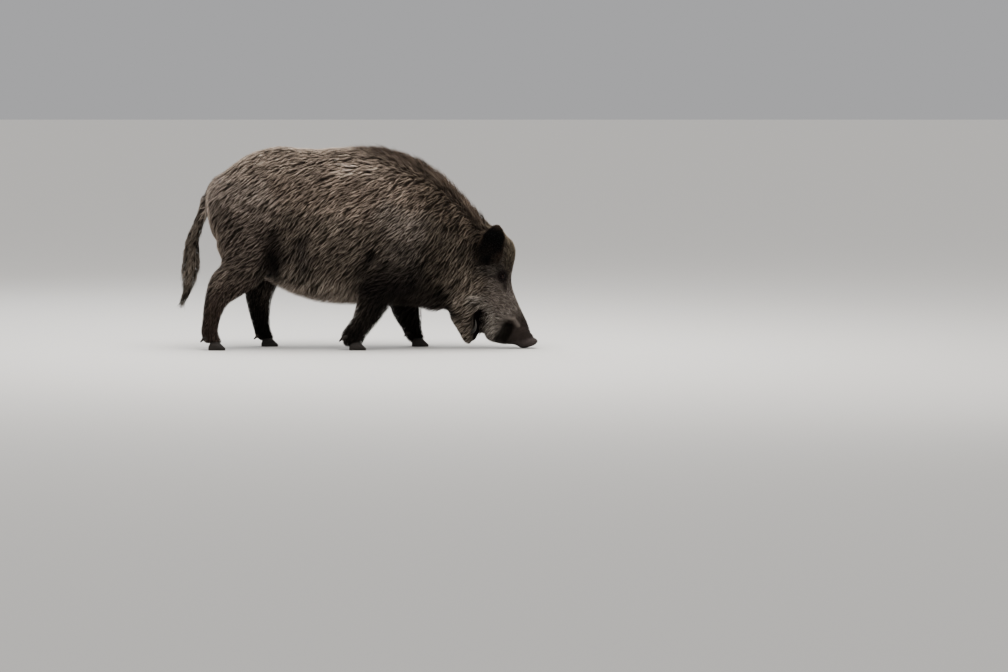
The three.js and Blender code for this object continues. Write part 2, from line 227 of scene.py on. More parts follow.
# The tones grow darker down the sides, under the belly and on the legs: partly the coat's own colour, partly
# painted shade from light falling from above. Each root tone is darker than its tip: partly the hair's own
# colour, partly painted shade deep in the coat.
tones = {
    "crest": ((0.003, 0.002, 0.002), (0.042, 0.030, 0.022)),
    "back": ((0.010, 0.008, 0.007), (0.470, 0.375, 0.300)),
    "rump": ((0.009, 0.007, 0.006), (0.385, 0.315, 0.265)),
    "flank": ((0.008, 0.006, 0.005), (0.285, 0.222, 0.176)),
    "side": ((0.007, 0.006, 0.005), (0.200, 0.162, 0.130)),
    "shoulder": ((0.008, 0.007, 0.006), (0.262, 0.218, 0.184)),
    "belly": ((0.010, 0.008, 0.006), (0.265, 0.220, 0.180)),
    "ham": ((0.006, 0.005, 0.004), (0.138, 0.110, 0.092)),
    # fold: painted shade, a dark tone laid in creases where shade falls
    "fold": ((0.005, 0.004, 0.004), (0.064, 0.053, 0.045)),
    "neck": ((0.005, 0.004, 0.003), (0.106, 0.086, 0.067)),
    "nape": ((0.006, 0.005, 0.004), (0.138, 0.106, 0.080)),
    "cheek": ((0.013, 0.010, 0.008), (0.250, 0.203, 0.160)),
    "temple": ((0.007, 0.006, 0.005), (0.074, 0.064, 0.055)),
    "pale": ((0.034, 0.028, 0.025), (0.300, 0.255, 0.228)),
    "beard": ((0.013, 0.011, 0.009), (0.390, 0.322, 0.260)),
    "face": ((0.032, 0.027, 0.023), (0.152, 0.127, 0.110)),
    "brow": ((0.011, 0.009, 0.006), (0.122, 0.099, 0.071)),
    "snout": ((0.012, 0.009, 0.008), (0.034, 0.026, 0.022)),
    "whisker": ((0.022, 0.019, 0.016), (0.500, 0.445, 0.390)),
    "eyePatch": ((0.003, 0.002, 0.002), (0.012, 0.006, 0.008)),
    # leg: near-black, the legs' dark hair made darker still as painted shade
    "leg": ((0.0015, 0.001, 0.001), (0.0055, 0.0045, 0.004)),
    "arm": ((0.003, 0.002, 0.002), (0.026, 0.021, 0.018)),
    "shank": ((0.005, 0.004, 0.003), (0.062, 0.044, 0.036)),
    "thigh": ((0.009, 0.007, 0.006), (0.215, 0.172, 0.140)),
    # ear: near-black, partly the ear's own dark hair, partly painted shadow
    "ear": ((0.0015, 0.0012, 0.001), (0.006, 0.004, 0.0035)),
    "earRim": ((0.007, 0.006, 0.005), (0.120, 0.083, 0.058)),
    "tail": ((0.015, 0.012, 0.010), (0.148, 0.122, 0.098)),
}


def hair(start, end, reach, toward, deep, long, wide, apart, tone, side=0, light=1.0):
    mm = 0.001
    return {
        "start": np.array(start) * mm, "end": np.array(end) * mm, "reach": reach * mm,
        "toward": np.array(toward), "deep": deep * mm, "long": long * mm,
        "wide": wide * mm, "apart": apart * mm, "side": side,
        "tone": [np.array(colour) * light for colour in tones[tone]],
    }


coatLines = [
    hair((-540, 0, 760), (-330, 0, 806), 80, (-1, 0.6, -0.75), 14, 38, 2.3, 4.2, "back"),
    hair((-270, 0, 806), (-120, 0, 818), 74, (-1, 0.35, -0.45), 15, 40, 2.3, 4.2, "back"),
    hair((-90, 0, 822), (-40, 0, 826), 50, (-1, 0.1, -0.2), 17, 46, 2.4, 4.3, "back"),
    hair((20, 0, 826), (110, 0, 818), 40, (-1, 0.1, 0.05), 21, 50, 2.5, 4.4, "crest", light=1.1),
    hair((150, 0, 810), (260, 0, 772), 72, (-1, 0, 0.25), 26, 56, 2.6, 4.4, "crest", light=1.25),
    hair((300, 0, 742), (500, 0, 556), 74, (-0.8, 0, 0.48), 28, 62, 2.6, 4.4, "crest", light=1.5),
    hair((-410, 100, 738), (-200, 110, 740), 40, (-1, 0.1, -0.80), 14, 38, 2.3, 4.2, "back", light=0.80),
    hair((-70, 120, 734), (60, 120, 736), 44, (-1, 0, -0.33), 14, 40, 2.3, 4.2, "back"),
    hair((-540, 110, 690), (-400, 160, 640), 84, (-1, 0, -0.97), 13, 34, 2.2, 4.1, "rump"),
    hair((-520, 110, 720), (-430, 130, 708), 36, (-1, 0, -0.90), 13, 36, 2.2, 4.1, "back", light=1.35),
    hair((-300, 150, 680), (-140, 170, 620), 74, (-1, 0, -0.90), 13, 36, 2.3, 4.2, "flank"),
    hair((-60, 160, 670), (70, 170, 620), 70, (-1, 0, -0.62), 13, 36, 2.3, 4.2, "flank", light=1.15),
    hair((-110, 180, 590), (30, 180, 550), 36, (-1, 0, -0.70), 13, 35, 2.3, 4.2, "flank", light=1.2),
    hair((120, 160, 680), (230, 160, 615), 62, (-1, 0, -0.80), 13, 35, 2.3, 4.2, "flank", light=1.2),
    hair((-560, 150, 560), (-480, 170, 480), 74, (-1, 0, -0.95), 11, 30, 2.2, 4.1, "ham"),
    hair((-440, 170, 500), (-400, 170, 420), 52, (-1, 0, -0.50), 11, 30, 2.2, 4.1, "ham", light=1.35),
    hair((-275, 180, 550), (-250, 175, 480), 52, (-0.8, 0, -1.0), 12, 32, 2.3, 4.2, "side", light=0.78),
    hair((-150, 190, 560), (-130, 180, 420), 58, (-1, 0, -0.95), 13, 34, 2.3, 4.2, "side"),
    hair((-60, 190, 540), (10, 190, 480), 62, (-1, 0, -0.62), 13, 34, 2.3, 4.2, "side", light=1.2),
    hair((-20, 190, 430), (20, 185, 370), 50, (-1, 0, -0.62), 13, 34, 2.3, 4.2, "side", light=0.85),
    hair((80, 190, 500), (100, 185, 420), 46, (-1, 0, -0.88), 12, 32, 2.3, 4.2, "side", light=0.82),
    # painted shade in the fold of the flank
    hair((-225, 175, 460), (-210, 165, 330), 46, (-0.42, 0, -1), 13, 33, 2.3, 4.2, "fold"),
    hair((-130, 170, 370), (-60, 160, 330), 60, (-1, 0, -0.98), 13, 35, 2.3, 4.3, "side", light=0.85),
    hair((-240, 130, 300), (-30, 120, 235), 74, (-0.6, 0, -1), 14, 40, 2.3, 4.4, "belly", light=1.08),
    hair((-360, 0, 260), (60, 0, 200), 90, (-1, 0, -0.12), 16, 40, 2.5, 5.4, "belly"),
    hair((120, 190, 580), (250, 180, 500), 76, (-1, 0, -0.80), 12, 30, 2.2, 4.1, "shoulder"),
    # these two darken the shoulder's lower part: partly dark hair, partly painted shade above the elbow
    hair((140, 190, 420), (210, 180, 385), 50, (-1, 0, -0.92), 11, 30, 2.2, 4.1, "shoulder", light=0.52),
    hair((100, 180, 345), (260, 170, 330), 46, (-1, 0, -0.50), 11, 30, 2.2, 4.1, "shoulder", light=0.21),
    # painted shadow between the shoulder and the jaw
    hair((265, 155, 340), (335, 130, 250), 38, (-1, 0, -0.80), 12, 30, 2.2, 4.2, "fold", light=0.32),
    hair((-460, 160, 610), (-340, 165, 585), 36, (-1, 0, -0.92), 12, 32, 2.2, 4.1, "ham", light=1.15),
    # darker at the thigh's front: partly painted shade in the crease before the thigh
    hair((-335, 175, 490), (-325, 170, 420), 36, (-1, 0, -0.80), 12, 32, 2.2, 4.1, "ham", light=0.38),
    hair((290, 130, 660), (420, 110, 540), 70, (-1, 0, -0.75), 15, 37, 2.3, 4.2, "nape", light=1.15),
    hair((320, 150, 500), (330, 140, 330), 70, (-1, 0, -0.95), 13, 33, 2.2, 4.2, "neck"),
    hair((385, 125, 450), (370, 130, 360), 50, (-0.75, 0, -1), 13, 32, 2.2, 4.1, "neck", light=1.3),
    hair((425, 118, 520), (450, 116, 490), 32, (-0.80, 0, -0.9), 13, 32, 2.2, 4.1, "nape", light=1.5),
    hair((440, 120, 410), (470, 112, 300), 36, (-0.75, 0, -1), 12, 30, 2.1, 4.0, "neck", light=0.85),
    # these two: dark between the forelegs and under the chest, partly the legs' dark hair, partly painted
    # shade
    hair((90, 60, 200), (220, 60, 180), 60, (-1, 0, -0.3), 16, 36, 2.4, 4.8, "leg", light=1.8),
    hair((270, 60, 180), (400, 50, 168), 66, (-1, 0, -0.3), 16, 36, 2.4, 4.8, "arm"),
    hair((436, 112, 290), (450, 108, 230), 56, (-0.55, 0, -1), 10, 27, 2.0, 3.7, "cheek", light=0.88),
    hair((420, 70, 190), (450, 70, 160), 48, (-0.6, 0, -0.8), 11, 30, 2.0, 3.7, "beard"),
    hair((458, 104, 222), (522, 88, 172), 38, (-1, 0, 0.6), 11, 30, 1.9, 3.3, "whisker"),
    hair((400, 30, 120), (440, 24, 60), 42, (-0.75, 0, -0.6), 9, 28, 2.0, 3.7, "beard"),
    hair((600, 0, 480), (560, 40, 500), 36, (-0.7, 0, 0.6), 12, 32, 2.1, 3.9, "brow"),
    hair((634, 0, 420), (632, 40, 350), 48, (-0.25, 0, 1), 8, 20, 1.9, 3.6, "brow", light=1.2),
    hair((500, 104, 300), (490, 110, 250), 38, (-0.8, 0, -0.5), 9, 24, 1.9, 3.5, "cheek", light=0.80),
    hair((526, 100, 340), (556, 90, 322), 42, (-0.8, 0, 0.1), 7, 18, 1.7, 3.1, "temple", light=1.5),
    hair((486, 112, 330), (510, 104, 308), 32, (-0.7, 0, -0.4), 9, 22, 1.8, 3.3, "temple"),
    # painted shade round the ear's root, in the ear's near-black tone
    hair((486, 120, 420), (526, 108, 364), 44, (-0.5, 0, -1), 9, 24, 2.0, 3.4, "ear"),
    hair((560, 92, 262), (560, 84, 230), 46, (-0.85, 0, 0.1), 5, 16, 1.3, 2.3, "face", light=1.12),
    hair((545, 96, 284), (556, 92, 262), 15, (-0.85, 0, 0.1), 5, 16, 1.3, 2.3, "pale"),
    hair((606, 56, 236), (628, 40, 204), 20, (-0.4, 0, 0.9), 4, 14, 1.25, 2.3, "pale"),
    hair((572, 82, 306), (604, 68, 290), 34, (-0.7, 0, 0.5), 3.5, 12, 1.3, 2.4, "eyePatch"),
    hair((600, 66, 284), (598, 60, 250), 20, (-0.7, 0, 0.5), 3.0, 10, 1.3, 2.4, "eyePatch"),
    hair((618, 0, 290), (640, 0, 200), 46, (-0.2, 0, 1), 4, 13, 1.25, 2.3, "face"),
    hair((550, 76, 200), (600, 62, 180), 46, (-0.8, 0, 0.5), 4, 14, 1.25, 2.3, "face", light=1.35),
    hair((524, 62, 140), (530, 52, 60), 36, (-0.6, 0, -0.8), 5, 17, 1.4, 2.6, "whisker", light=1.12),
    hair((574, 66, 132), (618, 58, 146), 15, (-0.5, 0, 0.85), 4, 13, 1.2, 2.3, "whisker"),
    hair((620, 50, 112), (670, 30, 100), 30, (-0.7, 0, 0.7), 2.4, 9, 1.1, 2.4, "snout"),
    hair((620, 50, 60), (690, 30, 60), 34, (-0.5, 0, 0.8), 1.6, 4, 1.2, 3.4, "snout"),
    hair((-585, 60, 690), (-600, 60, 600), 60, (-0.55, 0, -1), 13, 36, 2.3, 4.2, "rump", light=1.25),
    hair((-570, 0, 724), (-612, 0, 660), 40, (-0.70, 0, -1), 16, 46, 2.3, 4.0, "rump", light=0.8),
    hair((-585, 90, 500), (-580, 110, 390), 60, (-0.5, 0, -1), 12, 36, 2.2, 4.1, "thigh", light=1.45),
    hair((-470, 160, 400), (-500, 145, 350), 54, (-1, 0, -0.62), 11, 30, 2.2, 4.1, "ham"),
    hair((-530, 140, 330), (-570, 130, 290), 46, (-1, 0, -0.80), 8, 26, 2.2, 4.0, "thigh", light=1.2),
    hair((-345, 160, 400), (-340, 130, 290), 56, (-0.75, 0, -1), 11, 30, 2.2, 4.1, "leg", light=1.1),
    hair((-330, 60, 340), (-400, 40, 320), 50, (-0.3, 0, -1), 9, 28, 2.4, 4.8, "leg"),
    hair((-460, 100, 290), (-560, 118, 260), 46, (-0.7, 0, -1), 7, 23, 2.1, 3.7, "shank", -1),
    hair((-588, 115, 200), (-608, 115, 70), 40, (-0.3, 0, -1), 5.5, 19, 1.9, 3.4, "shank", -1),
    # the far hind leg is near-black as painted shade; the near one keeps the brown shank tone
    hair((-380, 100, 300), (-425, 115, 250), 60, (-0.3, 0, -1), 7, 23, 2.1, 3.7, "leg", 1),
    hair((-425, 115, 190), (-408, 115, 70), 48, (-0.2, 0, -1), 5.5, 19, 1.9, 3.4, "leg", 1),
    # painted shade at the armpit, low on the chest
    hair((30, 140, 250), (225, 140, 268), 70, (-1, 0, -0.35), 8, 26, 2.2, 4.0, "leg", light=2.8),
    # painted shade behind the elbow
    hair((15, 170, 325), (75, 178, 410), 42, (-0.7, 0, -1), 13, 32, 2.2, 4.2, "fold", light=0.35),
    # painted shadow in the hollow below the throat's ruff
    hair((290, 130, 240), (345, 100, 232), 46, (-0.9, 0, -0.6), 15, 34, 2.3, 4.4, "leg"),
    hair((80, 130, 230), (50, 112, 170), 56, (-0.5, 0, -1), 7, 23, 2.1, 3.7, "leg", -1),
    hair((50, 112, 150), (-24, 110, 60), 44, (-0.4, 0, -1), 5.5, 19, 1.9, 3.4, "leg", -1),
    hair((180, 130, 230), (186, 112, 170), 56, (-0.3, 0, -1), 7, 23, 2.1, 3.7, "leg", 1),
    hair((190, 110, 150), (218, 110, 60), 44, (-0.2, 0, -1), 5.5, 19, 1.9, 3.4, "leg", 1),
]

lie = {
    "soft": 0.012, "fall": 4,  # a line's word is (reach / (distance + soft)) to the power of fall
    "parting": 0.04,  # how far from the middle the hair is turned fully to its own side
    "seam": 0.02,  # how far past the middle a line of one side is felt
}

ear = {
    "root": np.array((0.500, 0.096, 0.334)), "long": 0.204, "wide": 0.063,
    "cup": 0.026, "cupTop": 1.5,  # the cup's depth, and where it would come to nothing, in ear lengths
    "lean": 17, "turn": 12, "splay": {1: 36, -1: 18},  # degrees, the splay for left and right
    "shell": 0.27,  # how much of the solid's thickness the gristle keeps
    "spread": 1.02,  # makes up for what smoothing takes off its edge
    "hollow": 0.007, "hollowWide": 0.75,  # its depth, and its width of the ear's
    "hollowUp": (1.05, 0.2),  # up the ear, where it ends and where it is full
    "half": 0.009,  # half the solid's thickness
}

earCoat = {
    "deep": 0.0040, "long": 0.016, "wide": 0.0018, "apart": 0.0034,
    "rimDeep": 0.003, "rimLong": 0.010,  # how much more at the rim
    "rimWide": (0.66, 0.90), "rimUp": (0.72, 0.92),  # across and up the leaf, where it starts and is full
    "rimFrom": (0.35, 0.65),  # no rim is marked at the root
    "backTone": 0.35,  # how much of the rim's tone the ear's back has; the inside keeps the near-black ear tone, partly painted shadow
}

tailCoat = {
    "deep": 0.020, "long": 0.050, "wide": 0.0024, "apart": 0.0034,
    "tasselDeep": 0.004, "tasselLong": 0.024, "tasselDark": 0.5,  # what changes in the tassel
    "past": 0.008,  # how far hairs reach past the tail's end
    "tasselFull": 1.05, "sleek": 0.3,  # how much further its tips stand off in the tassel, and less above
}

tassel = {"draws": (0.66, 0.88), "swells": (0.58, 0.20)}  # places down the tail, from 0 to 1

tailLine = np.array([  # the tail's middle from root to tip, forward and up, in mm
    (-600, 640), (-634, 596), (-652, 545), (-668, 497), (-684, 450),
    (-690, 400), (-691, 347), (-698, 300), (-706, 253), (-720, 208), (-738, 166),
]) / 1000


def earAxes(side):  # columns: along its width, outwards, from its root to its tip
    angles = (-ear["splay"][side] * side, ear["lean"], -ear["turn"] * side)
    splay, lean, turn = (math.radians(angle) for angle in angles)
    spin = Matrix.Rotation(turn, 3, "Z") @ Matrix.Rotation(lean, 3, "Y") @ Matrix.Rotation(splay, 3, "X")
    return np.array(spin)


def earSheet(wideways, up):  # how far the cupped leaf's middle stands off a flat one
    return ear["cup"] * wideways ** 2 * (ear["cupTop"] - up)


def inEar(points, side):  # places in an ear's own leaf: across, up and off its middle sheet
    local = (points - ear["root"] * (1, side, 1)) @ earAxes(side)
    wideways, up = local[:, 0] / ear["wide"], local[:, 2] / ear["long"]
    return wideways, up, side * local[:, 1] - earSheet(wideways, up)


def earPlaces(wideways, up, off, side):
    outward = side * (off + earSheet(wideways, up))
    local = np.stack([wideways * ear["wide"], outward, up * ear["long"]], 1)
    return ear["root"] * (1, side, 1) + local @ earAxes(side).T


def alongTail(points):  # distance from the tail's middle line, how far down it, and the way it runs
    best = np.full(len(points), np.inf)
    down = np.zeros(len(points))
    way = np.zeros((len(points), 3))
    for i, (a, b) in enumerate(zip(tailLine[:-1], tailLine[1:])):
        start, end = np.array((a[0], 0, a[1])), np.array((b[0], 0, b[1]))
        distance, t = fromLine(points, start, end)
        near = distance < best
        best[near] = distance[near]
        down[near] = (i + t[near]) / (len(tailLine) - 1)
        way[near] = unit(end - start)
    return best, down, way


def tasselShare(down):  # 0 on the upper tail, 1 where its hairs draw together to a point
    return ease(*tassel["draws"], down)


def tasselSwell(down):  # 1 where the tail is thickest
    return hump(down, *tassel["swells"])


# What covers the body at each place

def coatAt(points, normals, earShare, tailShare):
    values = {key: 0.0 for key in ("toward", "deep", "long", "wide", "apart", "root", "tip")}
    total = np.zeros(len(points))
    folded = mirrored(points)
    outward = sided(np.clip(points[:, 1] / lie["parting"], -1, 1))
    for line in coatLines:
        distance, _ = fromLine(folded, line["start"], line["end"])
        weight = (line["reach"] / (distance + lie["soft"])) ** lie["fall"]
        if line["side"]:
            weight = weight * ease(-lie["seam"], lie["seam"], points[:, 1] * line["side"])
        total += weight
        values["toward"] = values["toward"] + line["toward"] * outward * weight[:, None]
        for key in ("deep", "long", "wide", "apart"):
            values[key] = values[key] + line[key] * weight
        for key, tone in zip(("root", "tip"), line["tone"]):
            values[key] = values[key] + tone * weight[:, None]
    for key in values:
        values[key] = (values[key].T / total).T

    def blendIn(amount, **special):
        for key, value in special.items():
            part = amount[:, None] if np.ndim(values[key]) > 1 else amount
            values[key] = values[key] * (1 - part) + np.asarray(value) * part

    axes = np.where(points[:, 1:2] > 0, earAxes(1)[:, 2], earAxes(-1)[:, 2])
    rim, outer = np.zeros(len(points)), np.zeros(len(points))
    for side in (1, -1):
        pick = (earShare > 0.02) & (points[:, 1] * side > 0)
        wideways, up, off = inEar(points[pick], side)
        edge = np.maximum(ease(*earCoat["rimWide"], np.abs(wideways)), ease(*earCoat["rimUp"], up))
        rim[pick] = edge * ease(*earCoat["rimFrom"], up)
        outer[pick] = ease(0.001, -0.002, off)
    # the ear's inside keeps the near-black ear tone, partly painted shadow; its rim and back are paler
    pale = np.maximum(rim, earCoat["backTone"] * outer)[:, None]
    root, tip = (np.array(dark) + (np.array(light) - dark) * pale
                 for dark, light in zip(tones["ear"], tones["earRim"]))
    blendIn(earShare, toward=axes, deep=earCoat["deep"] + earCoat["rimDeep"] * rim,
            long=earCoat["long"] + earCoat["rimLong"] * rim,
            wide=earCoat["wide"], apart=earCoat["apart"], root=root, tip=tip)
    _, down, way = alongTail(points)
    tuft = tasselShare(down)
    rest = np.array((tailLine[-1, 0], 0, tailLine[-1, 1])) - points
    way = unit(way * (1 - tuft[:, None]) + unit(rest) * tuft[:, None])
    long = tailCoat["long"] + tailCoat["tasselLong"] * tuft
    long = np.minimum(long, np.linalg.norm(rest, axis=1) + tailCoat["past"])
    root, tip = tones["tail"]
    tip = np.array(tip) * (1 - tailCoat["tasselDark"] * tuft[:, None])
    blendIn(tailShare, toward=way, deep=tailCoat["deep"] + tailCoat["tasselDeep"] * tuft, long=long,
            wide=tailCoat["wide"], apart=tailCoat["apart"], root=root, tip=tip)
    values["toward"] = across(values["toward"], normals)
    return values


# Skin: the solids of flesh joined into one mesh, smoothed, then drawn in by the depth of the coat

legNames = [f"{side}_{end}" for side in ("right", "left") for end in ("hind", "fore")]
fleshNodes = ["trunk", "neck", "head", "lower_jaw", "nose_disc", "right_ear", "left_ear", "tail", "tail_tuft"]
fleshNodes += [f"{leg}_{part}_leg" for leg in legNames for part in ("upper", "lower")]

skin = {
    "voxel": 0.0092,
    "tongue": {"middle": (0.488, 0, 0.120), "half": (0.030, 0.024, 0.066), "lean": -8},
    "leaf": 0.0045,  # how much fatter the ears go in, so that they keep their rims
    "blend": (0.001, 0.014),  # metres further from the body than from the ear or tail, from none to all
    "overHoof": 0.006, "hoofTop": (0.060, 0.036),  # how far the legs come down over the hooves
    "discClear": (0.062, 0.046),  # behind the nose disc's face, where the skin is left at the solid's surface
    "footClear": (0.075, 0.045), "footShare": 0.75,  # heights where the feet are mostly left so
    "tailCore": 0.0165, "tailTaper": 0.6, "tasselCore": 0.4,  # its radius, and what it loses and gains
    "look": 0.03,  # how far above and below the skin the solids' surface is looked for
    "room": (-0.012, 0.02), "evening": 6,  # least and most that is believed of it, and rounds of smoothing
    "seamAngle": 75, "islandGap": 0.001,
    "shadowTone": 0.12,  # how far from root tone to tip tone the skin under long hair lies
    "shortTone": 0.40, "short": (0.026, 0.008),  # how much more under short hair
}


def offLine(points, line):  # mm from a line whose ends are in mm
    distance, _ = fromLine(points, *(np.array(p) / 1000 for p in line))
    return distance * 1000


def share(points, line, radius):  # 1 on a line, fading to 0 about two radii off
    return hump(offLine(points, line), 0, radius)


def within(points, line, radius):  # 1 out to near the radius from a line, 0 beyond it
    return ease(1.15, 0.65, offLine(points, line) / radius)


headPlane = {"x": 0.40, "z": 0.30, "forward": 0.86, "down": 0.5, "fade": (-0.02, 0.03)}


def headShare(points):  # 0 at the neck, 1 in front of a plane behind the ears and jaw
    forward, up = points[:, 0] - headPlane["x"], points[:, 2] - headPlane["z"]
    return ease(*headPlane["fade"], forward * headPlane["forward"] - up * headPlane["down"])


def buildFlesh():
    bm = cadCopy([node for node in fleshNodes if not node.endswith("ear")])
    leaves = meshOf(cadCopy(["right_ear", "left_ear"]), "leaves")
    points, normals = pointsOf(leaves), normalsOf(leaves)
    movePoints(leaves, points + normals * skin["leaf"])  # fat enough to keep its rim
    bm.from_mesh(leaves)
    tongue = skin["tongue"]
    lean = Matrix.Rotation(math.radians(tongue["lean"]), 4, "Y")
    place = Matrix.Translation(tongue["middle"]) @ lean @ Matrix.Diagonal((*tongue["half"], 1))
    bmesh.ops.create_icosphere(bm, subdivisions=3, radius=1, matrix=place)
    return remeshed(bm, "skin", skin["voxel"])


def partShares(points):  # how much each place belongs to an ear and to the tail
    rest = nearestTree(cadCopy(["head", "neck", "trunk"]))
    shares = []
    x, aside, z = points[:, 0], np.abs(points[:, 1]), points[:, 2]
    regions = {  # only points here can belong to one
        "ear": (aside > 0.08) & (z > 0.32) & (x > 0.42),
        "tail": (x < -0.575) & (aside < 0.04),
    }
    nodes = {"ear": ["right_ear", "left_ear"], "tail": ["tail", "tail_tuft"]}
    for part, region in regions.items():
        own = nearestTree(cadCopy(nodes[part]))
        value = np.zeros(len(points))
        gap = distancesTo(rest, points[region]) - distancesTo(own, points[region])
        value[region] = ease(*skin["blend"], gap)
        shares.append(value)
    return shares


def thinEars(points, earShare):
    for side in (1, -1):
        pick = (earShare > 0) & (points[:, 1] * side > 0)
        wideways, up, off = inEar(points[pick], side)
        hollow = hump(wideways, 0, ear["hollowWide"]) * ease(*ear["hollowUp"], up)
        off = off * ear["shell"] - ear["hollow"] * hollow * ease(-0.5, 1, off / ear["half"])
        thin = earPlaces(wideways * ear["spread"], up * ear["spread"], off, side)
        points[pick] += (thin - points[pick]) * earShare[pick, None]
    return points


def thinTail(points, tailShare):
    near = tailShare > 0
    distance, down, _ = alongTail(points[near])
    spot = down * (len(tailLine) - 1)
    x, z = (np.interp(spot, range(len(tailLine)), tailLine[:, k]) for k in (0, 1))
    middle = np.stack([x, np.zeros(len(x)), z], 1)
    core = skin["tailCore"] * (1.0 - skin["tailTaper"] * down + skin["tasselCore"] * tasselSwell(down))
    thin = middle + unit(points[near] - middle) * np.minimum(distance, core)[:, None]
    points[near] += (thin - points[near]) * tailShare[near, None]
    return points


def roomAbove(points, normals, far):  # how far the solids reach off the skin, looking in from as far as told
    solids = nearestTree(cadCopy(fleshNodes))
    depth = skin["look"]
    hits = [solids.ray_cast(p + n * start, -n, start + depth)[3] for p, n, start in zip(points, normals, far)]
    return far - np.array([math.nan if hit is None else hit for hit in hits])


def sink(mesh, earShare, tailShare):  # lays the skin as deep under the solids as its coat stands off it
    points, normals = pointsOf(mesh), normalsOf(mesh)
    deep = coatAt(points, normals, earShare, tailShare)["deep"]
    room = roomAbove(points, normals, np.full(len(points), skin["look"]))
    shift = deep - evened(mesh, np.clip(np.nan_to_num(room), *skin["room"]), skin["evening"])
    bare = ease(*skin["discClear"], discHeight(points)) * headShare(points)
    foot = ease(*skin["footClear"], points[:, 2]) * (1 - headShare(points))
    shift *= (1 - np.maximum(earShare, tailShare)) * (1 - bare) * (1 - skin["footShare"] * foot)
    movePoints(mesh, points - normals * shift[:, None])


def drawIn(mesh):
    points = pointsOf(mesh)
    earShare, tailShare = partShares(points)
    body = 1 - np.maximum(earShare, tailShare)
    stout = ease(0.26, 0.34, points[:, 2]) * (1 - headShare(points)) * body
    relax(mesh, 8, 0.45 + 0.05 * earShare)  # the voxels' steps all over
    relax(mesh, 14, 0.5 * earShare)  # the ears' leaves
    relax(mesh, 70, 0.5 * stout)  # the seams between the body's solids
    sink(mesh, earShare, tailShare)
    points = pointsOf(mesh)
    points[:, 2] -= skin["overHoof"] * ease(*skin["hoofTop"], points[:, 2]) * (1 - headShare(points))
    movePoints(mesh, thinTail(thinEars(points, earShare), tailShare))
    relax(mesh, 6, 0.4 * body + 0.12)
    sink(mesh, earShare, tailShare)
    relax(mesh, 2, 0.3 * body)


def unwrap(ob):
    bpy.context.view_layer.objects.active = ob
    ob.select_set(True)
    bpy.ops.object.mode_set(mode="EDIT")
    bpy.ops.mesh.select_all(action="SELECT")
    bpy.ops.uv.smart_project(angle_limit=math.radians(skin["seamAngle"]), island_margin=skin["islandGap"])
    bpy.ops.object.mode_set(mode="OBJECT")
    ob.data.uv_layers.active.name = "OFBake"


def refine(mesh, inside):  # each square inside becomes four
    bm = opened(mesh)
    middles = np.array([(e.verts[0].co + e.verts[1].co) / 2 for e in bm.edges])
    chosen = [e for e, wanted in zip(bm.edges, inside(middles)) if wanted]
    bmesh.ops.subdivide_edges(bm, edges=chosen, cuts=1, use_grid_fill=True)
    closed(bm, mesh)
    relax(mesh, 3, 0.4 * inside(pointsOf(mesh)).astype(float))


# Forms worked into the skin: the nose disc, the head's folds and hollows, the lids, and the tail's root

disc = {
    "middle": np.array((0.6945, 0, 0.0065)), "out": unit(np.array((0.264, 0, -0.965))),
    "forward": unit(np.array((0.965, 0, 0.264))),
    "nostril": (0.001, 0.0155, 0.0085, 0.0062, 0.014),  # forward, aside, half sizes, depth
    "rim": (0.012, 0.009), "rimHigh": 0.0022,  # how far behind the face, width, and height
    "groove": (0.034, 0.007), "grooveDeep": 0.0030,
}


def discHeight(points):  # how far behind the disc's face
    return -(points - disc["middle"]) @ disc["out"]


# Strokes along a line, in mm: its points, its radius, and how far it raises the skin, or sinks it below 0
strokes = {
    "brow": ([(556, 80, 322), (588, 74, 330), (610, 62, 322)], 9, 5),
    "underEye": ([(560, 80, 272), (580, 76, 264)], 8, 2.5),
    "tearGroove": ([(592, 68, 276), (596, 64, 256), (597, 60, 238)], 4.5, -3.6),
    "cheekbone": ([(510, 100, 272), (572, 82, 240)], 20, 4),
    "temple": ([(560, 92, 372), (592, 80, 346)], 18, -4),
    "recess": ([(574, 56, 28), (605, 58, 86)], 25, -17),
    "recessFold": ([(560, 62, 80), (580, 64, 112), (606, 60, 128), (632, 54, 123), (648, 50, 98)], 8, 9),
    "foldGroove": ([(566, 64, 104), (586, 64, 126), (608, 60, 141), (636, 54, 136)], 4, -2.6),
    "upperLip": ([(524, 52, 50), (516, 58, 90), (512, 60, 140)], 13, 4.5),
    "lipLine": ([(534, 52, 44), (533, 60, 92), (524, 66, 140)], 5, -2.2),
    "mouthCorner": ([(503, 82, 172), (505, 84, 190)], 9, -4),
    "snoutTip": ([(640, 50, 40), (660, 44, 74)], 20, 3),
    "tailRoot": ([(-588, 0, 692), (-606, 0, 656)], 26, 10),
}

wrinkles = {
    "apart": 0.0145, "high": 0.0008, "start": (0.046, 0.058), "end": (0.125, 0.070),  # behind the disc's face
    "bend": 2.5, "bends": 60,  # radians they sway by, and how often across the snout
}

eyeForm = {
    "radius": 0.0125, "cornea": 0.06, "corneaEdge": 0.65,  # the cornea's height of the radius, and its angle
    "lid": 0.0026, "lidFrom": 1.30, "lidFull": 0.85,  # thickness over the ball, and where, of its radius
    "open": 0.0052, "long": 0.0115,  # half the slit's height and length
    "out": unit(np.array((0.50, 0.86, 0.02))), "slit": unit(np.array((-0.38, 0, 0.925))),
    "ring": (0.026, 0.038), "fill": (0.033, 0.024),  # the skin that gives the filled orbit's curve
    "reach": (0.034, 0.020),  # where the lids' form ends and where it is full
    "rimHigh": 0.0009, "rimLong": 0.013,  # the lids' raised edge along the slit
    "crease": (0.0055, 0.0016), "creaseDeep": 0.0013, "creaseTo": 0.021,  # off the slit, and its far end
    "behind": 0.0035,  # how far behind the ball's front the skin passes in the slit
}


